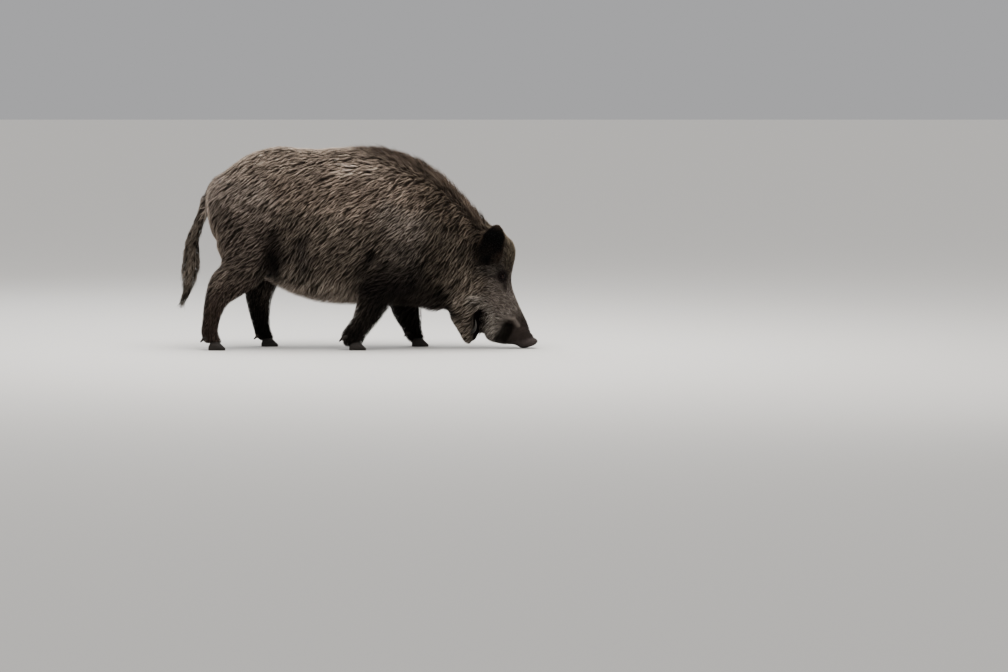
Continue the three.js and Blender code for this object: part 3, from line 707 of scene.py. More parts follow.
def stroke(points, normals, line, radius, height):  # how one stroke moves each point
    pieces = [share(mirrored(points), pair, radius) for pair in zip(line[:-1], line[1:])]
    return normals * (np.max(pieces, axis=0) * height / 1000)[:, None]


def eyeFrame(points):  # along the slit, across it and outwards from the eyeball's middle
    local = mirrored(points) - eyeAt
    out = eyeForm["out"]
    slit = across(eyeForm["slit"], out)
    return local @ slit, local @ np.cross(out, slit), local @ out


def evenGround(points):  # the orbit's hollow filled with the smooth curve of what lies round it
    for side in (1, -1):
        u, v, w = eyeFrame(points)
        off = np.hypot(u, v)
        here = (points[:, 1] * side > 0) & (w > -0.02) & (w < 0.04)
        terms = np.stack([np.ones(len(u)), u, v, u * u, u * v, v * v], 1)
        inner, outer = eyeForm["ring"]
        ring = here & (off > inner) & (off < outer)
        curve, *_ = np.linalg.lstsq(terms[ring], w[ring], rcond=None)
        lift = (terms @ curve - w) * ease(*eyeForm["fill"], off) * here
        points = points + eyeForm["out"] * (1, side, 1) * lift[:, None]
    return points


def shapeLids(points):
    points = evenGround(points)
    u, v, w = eyeFrame(points)
    off = np.hypot(u, v)
    radius = eyeForm["radius"]
    full, edge = eyeForm["lidFull"] * radius, eyeForm["lidFrom"] * radius
    ball = np.sqrt(np.maximum((radius + eyeForm["lid"]) ** 2 - off ** 2, 0))
    ground = w * ease(full, edge, off)
    target = np.where(off < edge, np.maximum(ball * ease(edge, full, off) + ground, ground), w)
    high = eyeForm["open"] * np.sqrt(np.clip(1 - (u / eyeForm["long"]) ** 2, 0, 1))
    offSlit = np.abs(v) - high
    rim = ease(0.0035, 0.0008, np.abs(offSlit)) * (np.abs(u) < eyeForm["rimLong"])
    target = target + eyeForm["rimHigh"] * rim
    crease = hump(offSlit, *eyeForm["crease"]) * (off < eyeForm["creaseTo"])
    target = target - eyeForm["creaseDeep"] * crease
    gone = ease(0.0011, -0.0011, offSlit) * (np.abs(u) < eyeForm["long"])
    behind = np.sqrt(np.maximum(radius ** 2 - off ** 2, 0)) - eyeForm["behind"]
    target = target * (1 - gone) + behind * gone
    near = (off < eyeForm["reach"][0]) & (w > -0.012) & (w < 0.04)
    shift = (target - w) * near * ease(*eyeForm["reach"], off)
    return points + eyeForm["out"] * sided(np.where(points[:, 1] < 0, -1.0, 1.0)) * shift[:, None]


def shapeForms(mesh):
    movePoints(mesh, shapeLids(pointsOf(mesh)))
    points, normals = pointsOf(mesh), normalsOf(mesh)
    shift = sum(stroke(points, normals, *s) for s in strokes.values())
    height = discHeight(points)
    front = headShare(points) * ease(0.52, 0.60, points[:, 0])
    band = ease(*wrinkles["start"], height) * ease(*wrinkles["end"], height)
    sway = wrinkles["bend"] * np.sin(points[:, 1] * wrinkles["bends"])
    wave = np.sin(2 * math.pi * height / wrinkles["apart"] + sway)
    upper = ease(-0.2, 0.5, normals @ disc["forward"])
    shift += normals * (wrinkles["high"] * wave * band * upper * front)[:, None]
    rim = hump(height, *disc["rim"]) * disc["rimHigh"] - hump(height, *disc["groove"]) * disc["grooveDeep"]
    shift += normals * (rim * front * ease(0.75, 0.2, normals @ disc["out"]))[:, None]
    points = points + shift
    forward, aside, long, wide, depth = disc["nostril"]
    local = mirrored(points) - disc["middle"]
    hole = ((local @ disc["forward"] - forward) / long) ** 2 + ((local[:, 1] - aside) / wide) ** 2
    face = ease(0.012, 0.004, np.abs(discHeight(points)))
    points -= disc["out"] * (depth * ease(1.0, 0.45, hole) * face)[:, None]
    movePoints(mesh, points)


def nearEye(points, reach):  # near either eyeball's middle
    return np.linalg.norm(mirrored(points) - eyeAt, axis=1) < reach


finer = [  # places whose squares are halved, one after another
    lambda p: headShare(p) > 0.5,
    lambda p: (headShare(p) > 0.5) & (p[:, 2] > 0.36) & (np.abs(p[:, 1]) > 0.112),  # the ears
    lambda p: (headShare(p) > 0.9) & ((p[:, 0] > 0.57) & (p[:, 2] < 0.12) | (p[:, 2] < 0.07)),  # snout, chin
    lambda p: nearEye(p, 0.045),
    lambda p: nearEye(p, 0.032),
]


def buildSkin():
    mesh = buildFlesh()
    print("flesh joined:", len(mesh.vertices), "points")
    drawIn(mesh)
    ob = addPiece("skin", mesh, None, "body_coat", *fleshNodes)
    unwrap(ob)
    print("skin drawn in and unwrapped")
    for inside in finer:
        refine(mesh, inside)
    shapeForms(mesh)
    bm = opened(mesh)
    bmesh.ops.triangulate(bm, faces=bm.faces)
    shadeSmooth(closed(bm, mesh))
    print("skin shaped:", len(mesh.polygons), "triangles")
    return ob


skinObject = buildSkin()


# Colour: every piece of skin and coat carries its own colour at each corner, from the same few rules

def noise(points, scale, seed):  # soft patches about scale across, mostly -1 to 1, the same each run
    own = np.random.default_rng(seed)
    total = np.zeros(len(points))
    for _ in range(7):
        way = unit(own.normal(size=3)) * 2 * math.pi / (scale * own.uniform(0.7, 1.6))
        total += np.sin(points @ way + own.uniform(0, 6.3))
    return total / 3.2


# colours of the bare skin, and of painted light on the head: a painted highlight on the fold over the nose's
# recess, painted shadow in that recess and in the ears' hollows, and dark bare skin with painted shade in the
# mouth's gape
bareAndPaintedLightTones = {
    "nose": (0.098, 0.078, 0.078), "archHighlight": (0.150, 0.127, 0.110), "snoutTip": (0.018, 0.014, 0.012),
    "lids": (0.006, 0.004, 0.004), "mouth": (0.003, 0.002, 0.002), "earHollowShadow": (0.0015, 0.0015, 0.0015),
    "recess": (0.002, 0.0015, 0.001),
}

markForms = {  # lines and radii in mm
    "lids": (0.029, 0.026),  # half the dark patch round the eye, in metres
    "tear": (((590, 68, 274), (597, 60, 242)), 7),
    # gums and gape: the mouth's dark bare skin, with painted shade in the gape
    "gums": (((497, 20, 180), (500, 24, 60)), 20),
    "gape": (((483, 0, 166), (480, 0, 40)), 21),
    # the recess: painted shadow behind the nose disc
    "recess": (((572, 0, 26), (606, 0, 86)), 27),
    "archHighlight": 8,
    # painted shadow low on the ears, at their base
    "throat": (((508, 0, 392), (552, 0, 434)), 38),
}

patches = ((0.16, 0.11, 3), (0.12, 0.035, 4))  # how strong, how large, and the seed


def marks(points, earShare):  # how much each place belongs to the bare and dark parts, and to the painted shadow and highlight
    folded = mirrored(points)
    aside = folded[:, 1]
    flat = folded * (1, 0, 1)  # seen from the side
    head = headShare(points)
    height = discHeight(points)
    u, v, _ = eyeFrame(points)
    long, high = markForms["lids"]
    lids = ease(1.25, 0.65, np.hypot(u / long, v / high)) * nearEye(points, 0.05)
    tear = share(folded, *markForms["tear"])
    # mouth: dark bare skin, partly painted shade in the gape
    mouth = np.maximum(share(folded, *markForms["gums"]), within(flat, *markForms["gape"]))
    mouth = mouth * ease(0.066, 0.052, aside)
    # the recess behind the nose disc is painted near-black as shadow
    recess = within(flat, *markForms["recess"]) * ease(0.015, 0.030, aside)
    # a painted highlight along the fold's ridge over the recess
    fold = strokes["recessFold"][0]
    archHighlight = np.max([share(folded, pair, markForms["archHighlight"]) for pair in zip(fold[:-1], fold[1:])], axis=0)
    # the ears' hollows are painted near-black as shadow
    hollow = np.zeros(len(points))
    for side in (1, -1):
        pick = (earShare > 0.05) & (points[:, 1] * side > 0)
        wideways, up, off = inEar(points[pick], side)
        inside = ease(1.0, 0.86, np.abs(wideways)) * ease(0.98, 0.80, up)
        hollow[pick] = ease(-0.0002, 0.0014, off) * inside * earShare[pick]
    # painted shadow low on the ears, in the ear hollow's tone
    throat = within(flat, *markForms["throat"]) * ease(0.086, 0.104, aside)
    return {
        "nose": ease(0.044, 0.030, height) * head * ease(0.60, 0.63, points[:, 0]),
        "snoutTip": ease(0.090, 0.045, height) * head * 0.8,
        "lids": np.maximum(lids, tear * 0.8) * head, "mouth": mouth * head,
        "archHighlight": 0.86 * archHighlight * head, "recess": 0.9 * recess * (1 - 0.9 * archHighlight) * head,
        "earHollowShadow": np.maximum(hollow, 0.78 * throat),
    }


def coloursAt(points, cover, mark, along):  # along is 0 at a hair's root, 1 at its tip
    patch = 1 + sum(strong * noise(points, scale, seed) for strong, scale, seed in patches)
    # from root to tip the colour lightens: partly the hair's own colour, partly painted shade deep in the
    # coat
    colour = cover["root"] + (cover["tip"] - cover["root"]) * np.asarray(along).reshape(-1, 1)
    colour = colour * patch[:, None]
    for name, amount in mark.items():
        colour = colour + (np.array(bareAndPaintedLightTones[name]) - colour) * amount[:, None]
    return np.clip(colour, 0.001, 0.9)


def paint(mesh, colours):
    layer = mesh.color_attributes.new("tint", "FLOAT_COLOR", "POINT")
    flat = np.concatenate([colours, np.ones((len(colours), 1))], 1)
    layer.data.foreach_set("color", flat.astype(np.float32).ravel())


def markFloat(mesh, name, values):
    layer = mesh.attributes.new(name, "FLOAT", "POINT")
    layer.data.foreach_set("value", values.astype(np.float32))


# Materials

def nodesOf(name, roughness, specular):
    material = bpy.data.materials.new(name)
    material.use_nodes = True
    tree = material.node_tree
    shader = tree.nodes["Principled BSDF"]
    shader.inputs["Roughness"].default_value = roughness
    shader.inputs["Specular IOR Level"].default_value = specular
    return material, tree, shader


def link(tree, out, into):
    tree.links.new(out, into)


def addNode(tree, kind, **settings):
    node = tree.nodes.new(kind)
    for key, value in settings.items():
        if key in node.inputs.keys():
            node.inputs[key].default_value = value
        else:
            setattr(node, key, value)
    return node


def attribute(tree, name):
    return addNode(tree, "ShaderNodeAttribute", attribute_name=name).outputs


def objectPlace(tree):
    return addNode(tree, "ShaderNodeTexCoord").outputs["Object"]


def objectNoise(tree, scale, detail, stretch=(1, 1, 1)):
    mapping = addNode(tree, "ShaderNodeMapping", Scale=stretch)
    texture = addNode(tree, "ShaderNodeTexNoise", Scale=scale, Detail=detail)
    link(tree, objectPlace(tree), mapping.inputs["Vector"])
    link(tree, mapping.outputs["Vector"], texture.inputs["Vector"])
    return texture.outputs["Fac"]


def spanned(tree, amount, low, high):  # 0 to 1 becomes low to high
    span = addNode(tree, "ShaderNodeMapRange", **{"To Min": low, "To Max": high})
    link(tree, amount, span.inputs["Value"])
    return span.outputs["Result"]


def varied(tree, colour, amount, low, high):  # colour times low to high, by amount
    times = addNode(tree, "ShaderNodeVectorMath", operation="SCALE")
    link(tree, colour, times.inputs[0])
    link(tree, spanned(tree, amount, low, high), times.inputs["Scale"])
    return times.outputs["Vector"]


def ramped(tree, amount, bands):  # a run of colours, each with its place
    ramp = addNode(tree, "ShaderNodeValToRGB")
    while len(ramp.color_ramp.elements) < len(bands):
        ramp.color_ramp.elements.new(0.5)
    for element, (position, colour) in zip(ramp.color_ramp.elements, bands):
        element.position = position
        element.color = (*colour, 1)
    link(tree, amount, ramp.inputs["Fac"])
    return ramp.outputs["Color"]


def bumped(tree, shader, height, strength, distance):
    relief = addNode(tree, "ShaderNodeBump", Strength=strength, Distance=distance)
    link(tree, height, relief.inputs["Height"])
    link(tree, relief.outputs["Normal"], shader.inputs["Normal"])


def bristleMaterial():
    material, tree, shader = nodesOf("bristle", 0.55, 0.04)
    grain = objectNoise(tree, 260, 2.0)
    colour = varied(tree, attribute(tree, "tint")["Color"], grain, 0.7, 1.3)
    link(tree, colour, shader.inputs["Base Color"])
    return material


def skinMaterial():  # glossier and finely cracked where it is bare
    material, tree, shader = nodesOf("skin", 0.6, 0.035)
    bare = attribute(tree, "bare")["Fac"]
    mottle = objectNoise(tree, 90, 5.0)
    colour = varied(tree, attribute(tree, "tint")["Color"], mottle, 0.6, 1.4)
    link(tree, colour, shader.inputs["Base Color"])
    link(tree, spanned(tree, bare, 0.75, 0.42), shader.inputs["Roughness"])
    cells = addNode(tree, "ShaderNodeTexVoronoi", Scale=420, feature="DISTANCE_TO_EDGE")
    link(tree, objectPlace(tree), cells.inputs["Vector"])
    mix = addNode(tree, "ShaderNodeMix", data_type="FLOAT")
    link(tree, bare, mix.inputs[0])
    link(tree, objectNoise(tree, 700, 4.0), mix.inputs[2])
    link(tree, cells.outputs["Distance"], mix.inputs[3])
    bumped(tree, shader, mix.outputs[0], 0.7, 0.0012)
    return material


def hornMaterial():
    material, tree, shader = nodesOf("horn", 0.5, 0.14)
    rings = objectNoise(tree, 60, 4.0, (0.5, 0.5, 5))
    bands = [(0.3, (0.007, 0.006, 0.005)), (0.75, (0.026, 0.021, 0.018))]
    link(tree, ramped(tree, rings, bands), shader.inputs["Base Color"])
    bumped(tree, shader, rings, 0.5, 0.001)
    return material


def ivoryMaterial():
    material, tree, shader = nodesOf("ivory", 0.42, 0.2)
    stain = objectNoise(tree, 120, 4.0, (1, 1, 0.3))
    colour = varied(tree, attribute(tree, "tint")["Color"], stain, 0.75, 1.2)
    link(tree, colour, shader.inputs["Base Color"])
    bumped(tree, shader, stain, 0.15, 0.0006)
    return material


def eyeMaterial():  # pupil, iris, dark edge and white, by the angle from the front
    material, tree, shader = nodesOf("eye", 0.12, 0.10)
    bands = [(0.0, (0.002, 0.002, 0.002)), (0.075, (0.002, 0.002, 0.002)), (0.09, (0.022, 0.010, 0.006)),
             (0.17, (0.010, 0.005, 0.003)), (0.20, (0.003, 0.002, 0.002)), (0.32, (0.020, 0.013, 0.012))]
    link(tree, ramped(tree, attribute(tree, "ring")["Fac"], bands), shader.inputs["Base Color"])
    shader.inputs["Coat Weight"].default_value = 0.05
    shader.inputs["Coat Roughness"].default_value = 0.05
    return material


# Coat: tufts grown from one tapered spike, laid along the skin in locks

def spike(rows):  # rows of three corners and a tip, with its root closed
    bm = bmesh.new()
    bmesh.ops.create_cone(bm, cap_ends=True, segments=3, radius1=1, radius2=0, depth=1)
    cutInRows(bm, rows)
    bmesh.ops.triangulate(bm, faces=bm.faces)
    bm.verts.index_update()
    corners = np.array([v.co for v in bm.verts])
    row = np.round((corners[:, 2] + 0.5) * rows).astype(int)
    turn = np.arctan2(corners[:, 1], corners[:, 0])
    faces = np.array([[v.index for v in f.verts] for f in bm.faces])
    bm.free()
    return {"row": row, "turn": turn, "faces": faces, "rows": rows}


coat = {
    "lock": (0.235, 0.0042, 0.0092),  # how wide a lock is: share of a tuft's length, least and most
    "stretch": 2.6,  # a lock's length, of its width
    "gather": 0.78,  # how far a tuft's tip is drawn to its lock's middle line
    "follow": 1.5,  # how much more a tuft heeds its lock's way than its own place's
    "fan": 0.06, "lockFan": 0.20,  # radians that tufts and locks stray
    "wave": 0.045, "waves": 1.25,  # sideways wave, of a tuft's length, and how many it has
    "ridge": 0.30,  # half width of a lock's light, raised middle, of its width
    "gapShade": 0.14, "ridgeHighlight": 1.28,  # lightness at a lock's edge, painted shade in the gaps between locks, and how much more on its ridge, a painted highlight
    "lockTone": 0.26, "tuftTone": 0.16,  # how much locks and tufts differ in lightness
    "lengths": (0.75, 1.15), "widths": (0.75, 1.25),  # least and most of a tuft, of what its place says
    "rise": 0.80, "lockRise": 0.18, "tuftRise": 0.08, "ridgeRise": 0.28,  # tips off the skin, of the depth
    "steep": 1.75,  # how fast a tuft leaves the skin, of a straight one
    "rooted": 0.002,  # how far the roots go into the skin
    "close": 0.85,  # how far the tips come down again at the tail's point
    "hang": 0.016,  # how far the tips sag under the belly
    "flat": 0.42,  # a tuft's thickness, of its width
    "profiles": {2: (0.8, 0.9, 0), 3: (0.7, 1.0, 0.68, 0)},  # width at each row, for tufts of two and three
    "threeRows": 0.058,  # the length from which a tuft has three rows
    "patch": 0.003,  # a tuft's size on the map
    "bare": {"nose": 1, "mouth": 1, "earHollowShadow": 0.8, "lids": 0.7, "recess": 0.3},  # tufts left out there
    "stray": {"long": 0.35, "deep": 0.28, "wide": -0.25},  # what single hairs that stand out have more
    "strays": 0.03, "strayFrom": 0.020,  # how many there are, and the least length that has them
}


class Surface:  # the finished skin, ready to be sampled
    def __init__(self, mesh):
        self.points, self.normals = pointsOf(mesh), normalsOf(mesh)
        self.faces = rowsOf(mesh.polygons, "vertices", 3, np.int32)
        self.uv = rowsOf(mesh.uv_layers["OFBake"].uv, "vector", 2).reshape(-1, 3, 2)
        a, b, c = (self.points[self.faces[:, k]] for k in range(3))
        self.areas = np.linalg.norm(np.cross(b - a, c - a), axis=1) / 2
        self.tree = BVHTree.FromPolygons(self.points.tolist(), self.faces.tolist())

    def atFaces(self, values):
        return values[self.faces].mean(1)

    def scatter(self, perArea):  # even spots on the faces, as face, weights
        want = self.areas * perArea
        count = np.floor(want + rng.random(len(want))).astype(int)
        face = np.repeat(np.arange(len(count)), count)
        a, b = rng.random(len(face)), rng.random(len(face))
        a, b = np.where(a + b > 1, 1 - a, a), np.where(a + b > 1, 1 - b, b)
        return face, np.stack([1 - a - b, a, b], 1)

    def blend(self, values, face, weights):
        picked = values[self.faces[face]]
        return (picked * (weights if picked.ndim == 2 else weights[:, :, None])).sum(1)

    def nearest(self, points):
        places, normals = np.empty_like(points), np.empty_like(points)
        for i, p in enumerate(points):
            place, normal, _, _ = self.tree.find_nearest(p)
            places[i], normals[i] = place, normal
        return places, normals


def spotValues(surface, fields, face, weights):
    spots = {key: surface.blend(value, face, weights) for key, value in fields.items()}
    spots["at"] = surface.blend(surface.points, face, weights)
    spots["normal"] = unit(surface.blend(surface.normals, face, weights))
    spots["toward"] = across(spots["toward"], spots["normal"])
    spots["uv"] = (surface.uv[face] * weights[:, :, None]).sum(1)
    return spots


def fanned(toward, normal, angles):  # turned in the surface
    aside = np.cross(normal, toward)
    return toward * np.cos(angles)[:, None] + aside * np.sin(angles)[:, None]


def makeLocks(surface, fields):
    part, least, most = coat["lock"]
    apart = np.clip(part * surface.atFaces(fields["long"]), least, most)
    face, weights = surface.scatter(1 / (apart ** 2 * coat["stretch"]))
    locks = spotValues(surface, fields, face, weights)
    count = len(face)
    locks["toward"] = fanned(locks["toward"], locks["normal"], rng.normal(0, coat["lockFan"], count))
    locks["aside"] = np.cross(locks["normal"], locks["toward"])
    locks["apart"] = apart[face]
    locks["light"] = np.exp(rng.normal(0, coat["lockTone"], count))
    locks["phase"] = rng.uniform(0, 1, count)
    locks["lift"] = rng.random(count)
    return locks


def ownLocks(locks, spots):  # which lock each tuft belongs to, and how far aside of its middle it is rooted
    tree = KDTree(len(locks["at"]))
    for i, p in enumerate(locks["at"]):
        tree.insert(p, i)
    tree.balance()
    near = np.array([[j for _, j, _ in tree.find_n(p, 8)] for p in spots["at"]])
    off = spots["at"][:, None] - locks["at"][near]
    along, aside, above = ((off * locks[key][near]).sum(2) for key in ("toward", "aside", "normal"))
    best = ((along / coat["stretch"]) ** 2 + aside ** 2 + 2 * above ** 2).argmin(1)
    own = near[np.arange(len(near)), best]
    return own, aside[np.arange(len(near)), best]


def layTufts(surface, spots, locks, own, rows):  # the middle line of each tuft, and its upward side
    count = len(spots["at"])
    toward = across(spots["toward"] + locks["toward"][own] * coat["follow"], spots["normal"])
    toward = fanned(toward, spots["normal"], rng.normal(0, coat["fan"], count))
    aside = np.cross(spots["normal"], toward)
    long = (spots["long"] * rng.uniform(*coat["lengths"], count))[:, None]
    rise = coat["rise"] + coat["lockRise"] * locks["lift"][own] + coat["tuftRise"] * rng.random(count)
    rise = (spots["deep"] * (rise + coat["ridgeRise"] * spots["middle"]))[:, None]
    bunch = spots["bunch"][:, None]  # at the tail's end they run free of the skin to one point
    lines, ups = [spots["at"] - spots["normal"] * coat["rooted"]], [spots["normal"]]
    for row in range(1, rows + 1):
        s = row / rows
        turn = np.sin(2 * math.pi * (coat["waves"] * s + locks["phase"][own]))
        stray = coat["wave"] * long[:, 0] * turn * s ** 0.5 - spots["aside"] * coat["gather"] * s
        free = spots["at"] + toward * long * s + aside * stray[:, None]
        place, normal = surface.nearest(free)
        place += (free - place) * bunch
        normal = unit(normal + (spots["normal"] - normal) * bunch)
        curve = coat["steep"] * s - (coat["steep"] - 1) * s * s
        place = place + normal * rise * curve * (1 - coat["close"] * s * bunch)
        place[:, 2] -= spots["hang"] * coat["hang"] * s * s
        lines.append(place)
        ups.append(normal)
    return np.stack(lines, 1), np.stack(ups, 1)


def growPiece(surface, spots, locks, own, form):  # arrays of one set of tufts, all of one form
    rows, row, turn = form["rows"], form["row"], form["turn"]
    lines, ups = layTufts(surface, spots, locks, own, rows)
    count = len(lines)
    run = unit(np.diff(lines, axis=1, append=lines[:, -1:] * 2 - lines[:, -2:-1]))
    aside = unit(np.cross(ups, run))
    up = np.cross(run, aside)
    profile = np.array(coat["profiles"][rows])
    half = spots["wide"][:, None] / 2 * rng.uniform(*coat["widths"], (count, 1)) * profile[row]
    corners = (lines[:, row] + aside[:, row] * (half * np.cos(turn))[:, :, None]
               + up[:, row] * (half * coat["flat"] * np.sin(turn))[:, :, None])
    third = np.round(turn / (2 * math.pi / 3)) % 3  # which of its row's three corners each one is
    # the corners of a row are spread on the map too, so that each face has some room there
    wideways = np.where(row == rows, 0.5, 0.1 + 0.4 * third)
    lengthways = 0.06 + 0.88 * row / rows + np.where(row == rows, 0, 0.04 * np.sin(turn))
    uv = spots["uv"][:, None] + coat["patch"] * (np.stack([wideways, lengthways], 1) - 0.5)
    light = locks["light"][own] * np.exp(rng.normal(0, coat["tuftTone"], count))
    # painted shade in the gaps between locks and a painted highlight on their ridges
    light = light * (coat["gapShade"] + coat["ridgeHighlight"] * spots["middle"])
    along = (row / rows) ** 0.8
    flat = corners.reshape(-1, 3)
    cover = {key: np.repeat(spots[key] * light[:, None], len(row), axis=0) for key in ("root", "tip")}
    mark = {name: np.repeat(spots[name], len(row)) for name in bareAndPaintedLightTones}
    colours = coloursAt(np.repeat(spots["at"], len(row), axis=0), cover, mark, np.tile(along, count))
    faces = (form["faces"][None] + (np.arange(count) * len(row))[:, None, None]).reshape(-1, 3)
    return flat, faces, uv.reshape(-1, 2), colours


def joinedPiece(name, sets, material, slot):
    start, places, faces = 0, [], []
    for flat, face, _, _ in sets:
        places.append(flat)
        faces.append(face + start)
        start += len(flat)
    mesh = bpy.data.meshes.new(name)
    faces = np.concatenate(faces)
    mesh.from_pydata(np.concatenate(places) + origin, [], faces)
    layer = mesh.uv_layers.new(name="OFBake")
    uv = np.concatenate([s[2] for s in sets])
    layer.uv.foreach_set("vector", uv[faces.ravel()].astype(np.float32).ravel())
    paint(mesh, np.concatenate([s[3] for s in sets]))
    shadeSmooth(mesh)
    addPiece(name, mesh, material, slot)
    return len(mesh.polygons)


coatPieces = {  # the record's slot named for each region's coat
    "trunk": "body_coat", "neck": "neck_coat", "head": "face_coat", "leg": "leg_coat",
    "tail": "tail_coat", "ear": "ear",
}


borders = {
    "trunk": -0.142, "neck": 0.285,  # where the trunk's rear half ends and the neck starts
    "legTop": 0.30, "legFront": 0.30, "legInside": 0.03,
    "legWay": -0.55,  # how steeply a leg's hair runs down
}


def regionOf(spots):
    x, y, z = spots["at"].T
    steep = spots["toward"][:, 2] < borders["legWay"]
    low = (z < borders["legTop"]) & steep & (np.abs(y) > borders["legInside"])
    region = np.where(x > borders["neck"], "neck", "trunk")
    region = np.where(low & (x < borders["legFront"]), "leg", region)
    region = np.where(spots["head"] > 0.5, "head", region)
    region = np.where(spots["ear"] > 0.4, "ear", region)
    region = np.where(spots["tail"] > 0.5, "tail", region)
    return region


def growCoat(surface, fields):
    keep = 1 - np.maximum.reduce([fields[name] * part for name, part in coat["bare"].items()])
    keep = keep * ease(0.022, 0.030, surface.points[:, 2] + 0.05 * fields["head"])  # none on the hooves
    perArea = surface.atFaces(np.clip(keep, 0, 1) / fields["apart"] ** 2)
    locks = makeLocks(surface, fields)
    face, weights = surface.scatter(perArea)
    spots = spotValues(surface, fields, face, weights)
    own, spots["aside"] = ownLocks(locks, spots)
    stray = (rng.random(len(face)) < coat["strays"]) & (spots["long"] > coat["strayFrom"])
    for key, more in coat["stray"].items():
        spots[key] *= 1 + more * stray
    spots["middle"] = hump(spots["aside"], 0, coat["ridge"] * locks["apart"][own])
    print("coat:", len(face), "tufts in", len(locks["at"]), "locks")
    region = regionOf(spots)
    side = np.where(spots["at"][:, 1] < 0, "right", "left")
    end = np.where(spots["at"][:, 0] < np.where(region == "trunk", borders["trunk"], 0), "rear", "front")
    material = bristleMaterial()
    forms = {rows: spike(rows) for rows in (2, 3)}
    total = 0
    for part, slot in coatPieces.items():
        sides = ("",) if part == "tail" else ("right", "left")
        ends = ("rear", "front") if part in ("trunk", "leg") else ("",)
        for one, other in itertools.product(sides, ends):
            chosen = (region == part) & ((side == one) | (one == "")) & ((end == other) | (other == ""))
            sets = []
            for rows, form in forms.items():
                pick = np.flatnonzero(chosen & ((spots["long"] > coat["threeRows"]) == (rows == 3)))
                if len(pick):
                    some = {key: value[pick] for key, value in spots.items()}
                    sets.append(growPiece(surface, some, locks, own[pick], form))
            name = "_".join(word for word in (one, other, part, "coat") if word)
            triangles = joinedPiece(name, sets, material, slot)
            total += triangles
            print(" ", name, triangles, "triangles")
    print("coat in all:", total, "triangles")


def dressSkin(ob):
    mesh = ob.data
    points, normals = pointsOf(mesh), normalsOf(mesh)
    earShare, tailShare = partShares(points)
    fields = coatAt(points, normals, earShare, tailShare)
    mark = marks(points, earShare)
    lightness = skin["shadowTone"] + skin["shortTone"] * ease(*skin["short"], fields["long"])
    paint(mesh, coloursAt(points, fields, mark, lightness))
    markFloat(mesh, "bare", np.maximum.reduce([mark["nose"], mark["snoutTip"] * 0.7, mark["lids"] * 0.8]))
    mesh.materials.append(skinMaterial())
    surface = Surface(mesh)
    fields.update(mark)
    deep = fields["deep"]
    room = roomAbove(points, normals, 2 * deep + 0.008)  # the tips reach the solids' surface, or nearly
    room = np.clip(np.where(np.isnan(room), deep, room), 0.6 * deep, 1.7 * deep + 0.002)
    _, down, _ = alongTail(points)
    fullness = tailCoat["tasselFull"] * tasselSwell(down) - tailCoat["sleek"]
    fields["deep"] = evened(mesh, room, skin["evening"]) * (1 + tailShare * fullness)
    fields["hang"] = ease(0.36, 0.26, points[:, 2]) * ease(0.0, -0.4, normals[:, 2])
    fields["hang"] *= ease(0.42, 0.32, np.abs(points[:, 0] + 0.02))  # only between the legs
    fields["bunch"] = tailShare * tasselShare(down)
    fields.update({"ear": earShare, "tail": tailShare, "head": headShare(points)})
    mesh.transform(Matrix.Translation(origin))
    return surface, fields


surface, fields = dressSkin(skinObject)
growCoat(surface, fields)


# Eyes, hooves and tusks

def buildEye(name, side, material):
    radius = eyeForm["radius"]
    out = Vector(eyeForm["out"] * (1, side, 1))
    turn = Vector((0, 0, 1)).rotation_difference(out).to_matrix().to_4x4()
    bm = bmesh.new()
    bmesh.ops.create_uvsphere(bm, u_segments=48, v_segments=36, radius=radius)
    for v in bm.verts:
        angle = v.co.angle(Vector((0, 0, 1)))
        bulge = max(0, math.cos(angle * 2.4)) * (angle < eyeForm["corneaEdge"])
        v.co *= 1 + eyeForm["cornea"] * bulge
    rings = [v.co.angle(Vector((0, 0, 1))) / math.pi for v in bm.verts]
    place = Vector(eyeAt * (1, side, 1) + origin)
    bmesh.ops.transform(bm, matrix=Matrix.Translation(place) @ turn, verts=bm.verts)
    mesh = meshOf(bm, name + "_ball")
    markFloat(mesh, "ring", np.array(rings))
    addPiece(name + "_ball", mesh, material, "eye", name)


hoof = {
    "voxel": 0.0018,
    "tuck": 0.20, "tuckUp": (0.004, 0.034),  # how much they narrow towards the leg, and between which heights
    "lean": 0.010,  # how far behind a hoof's middle its top lies
    "heel": (-0.046, -0.036),  # behind the hooves' middle, where the dewclaws' part starts
    "short": 0.84, "thin": 0.80,  # a dewclaw's length and thickness, of its solid's
    "point": 0.34,  # how much thinner again at its tip
    "root": 0.0095,  # radius of the knob that a dewclaw grows from
}


def slimDewclaw(points, node):  # shorter and thinner than its solid, and more so towards its tip
    low, high = cornersOf(node)
    middle = (low[1] + high[1]) / 2
    root, tip = np.array((high[0], middle, high[2] - 0.008)), np.array((low[0], middle, low[2] + 0.004))
    _, along = fromLine(points, root, tip)
    along = along[:, None]
    off = points - root - along * (tip - root)
    slim = root + along * (tip - root) * hoof["short"] + off * (hoof["thin"] - hoof["point"] * along)
    return np.where(np.abs(points[:, 1:2] - middle) < 0.0175, slim, points)


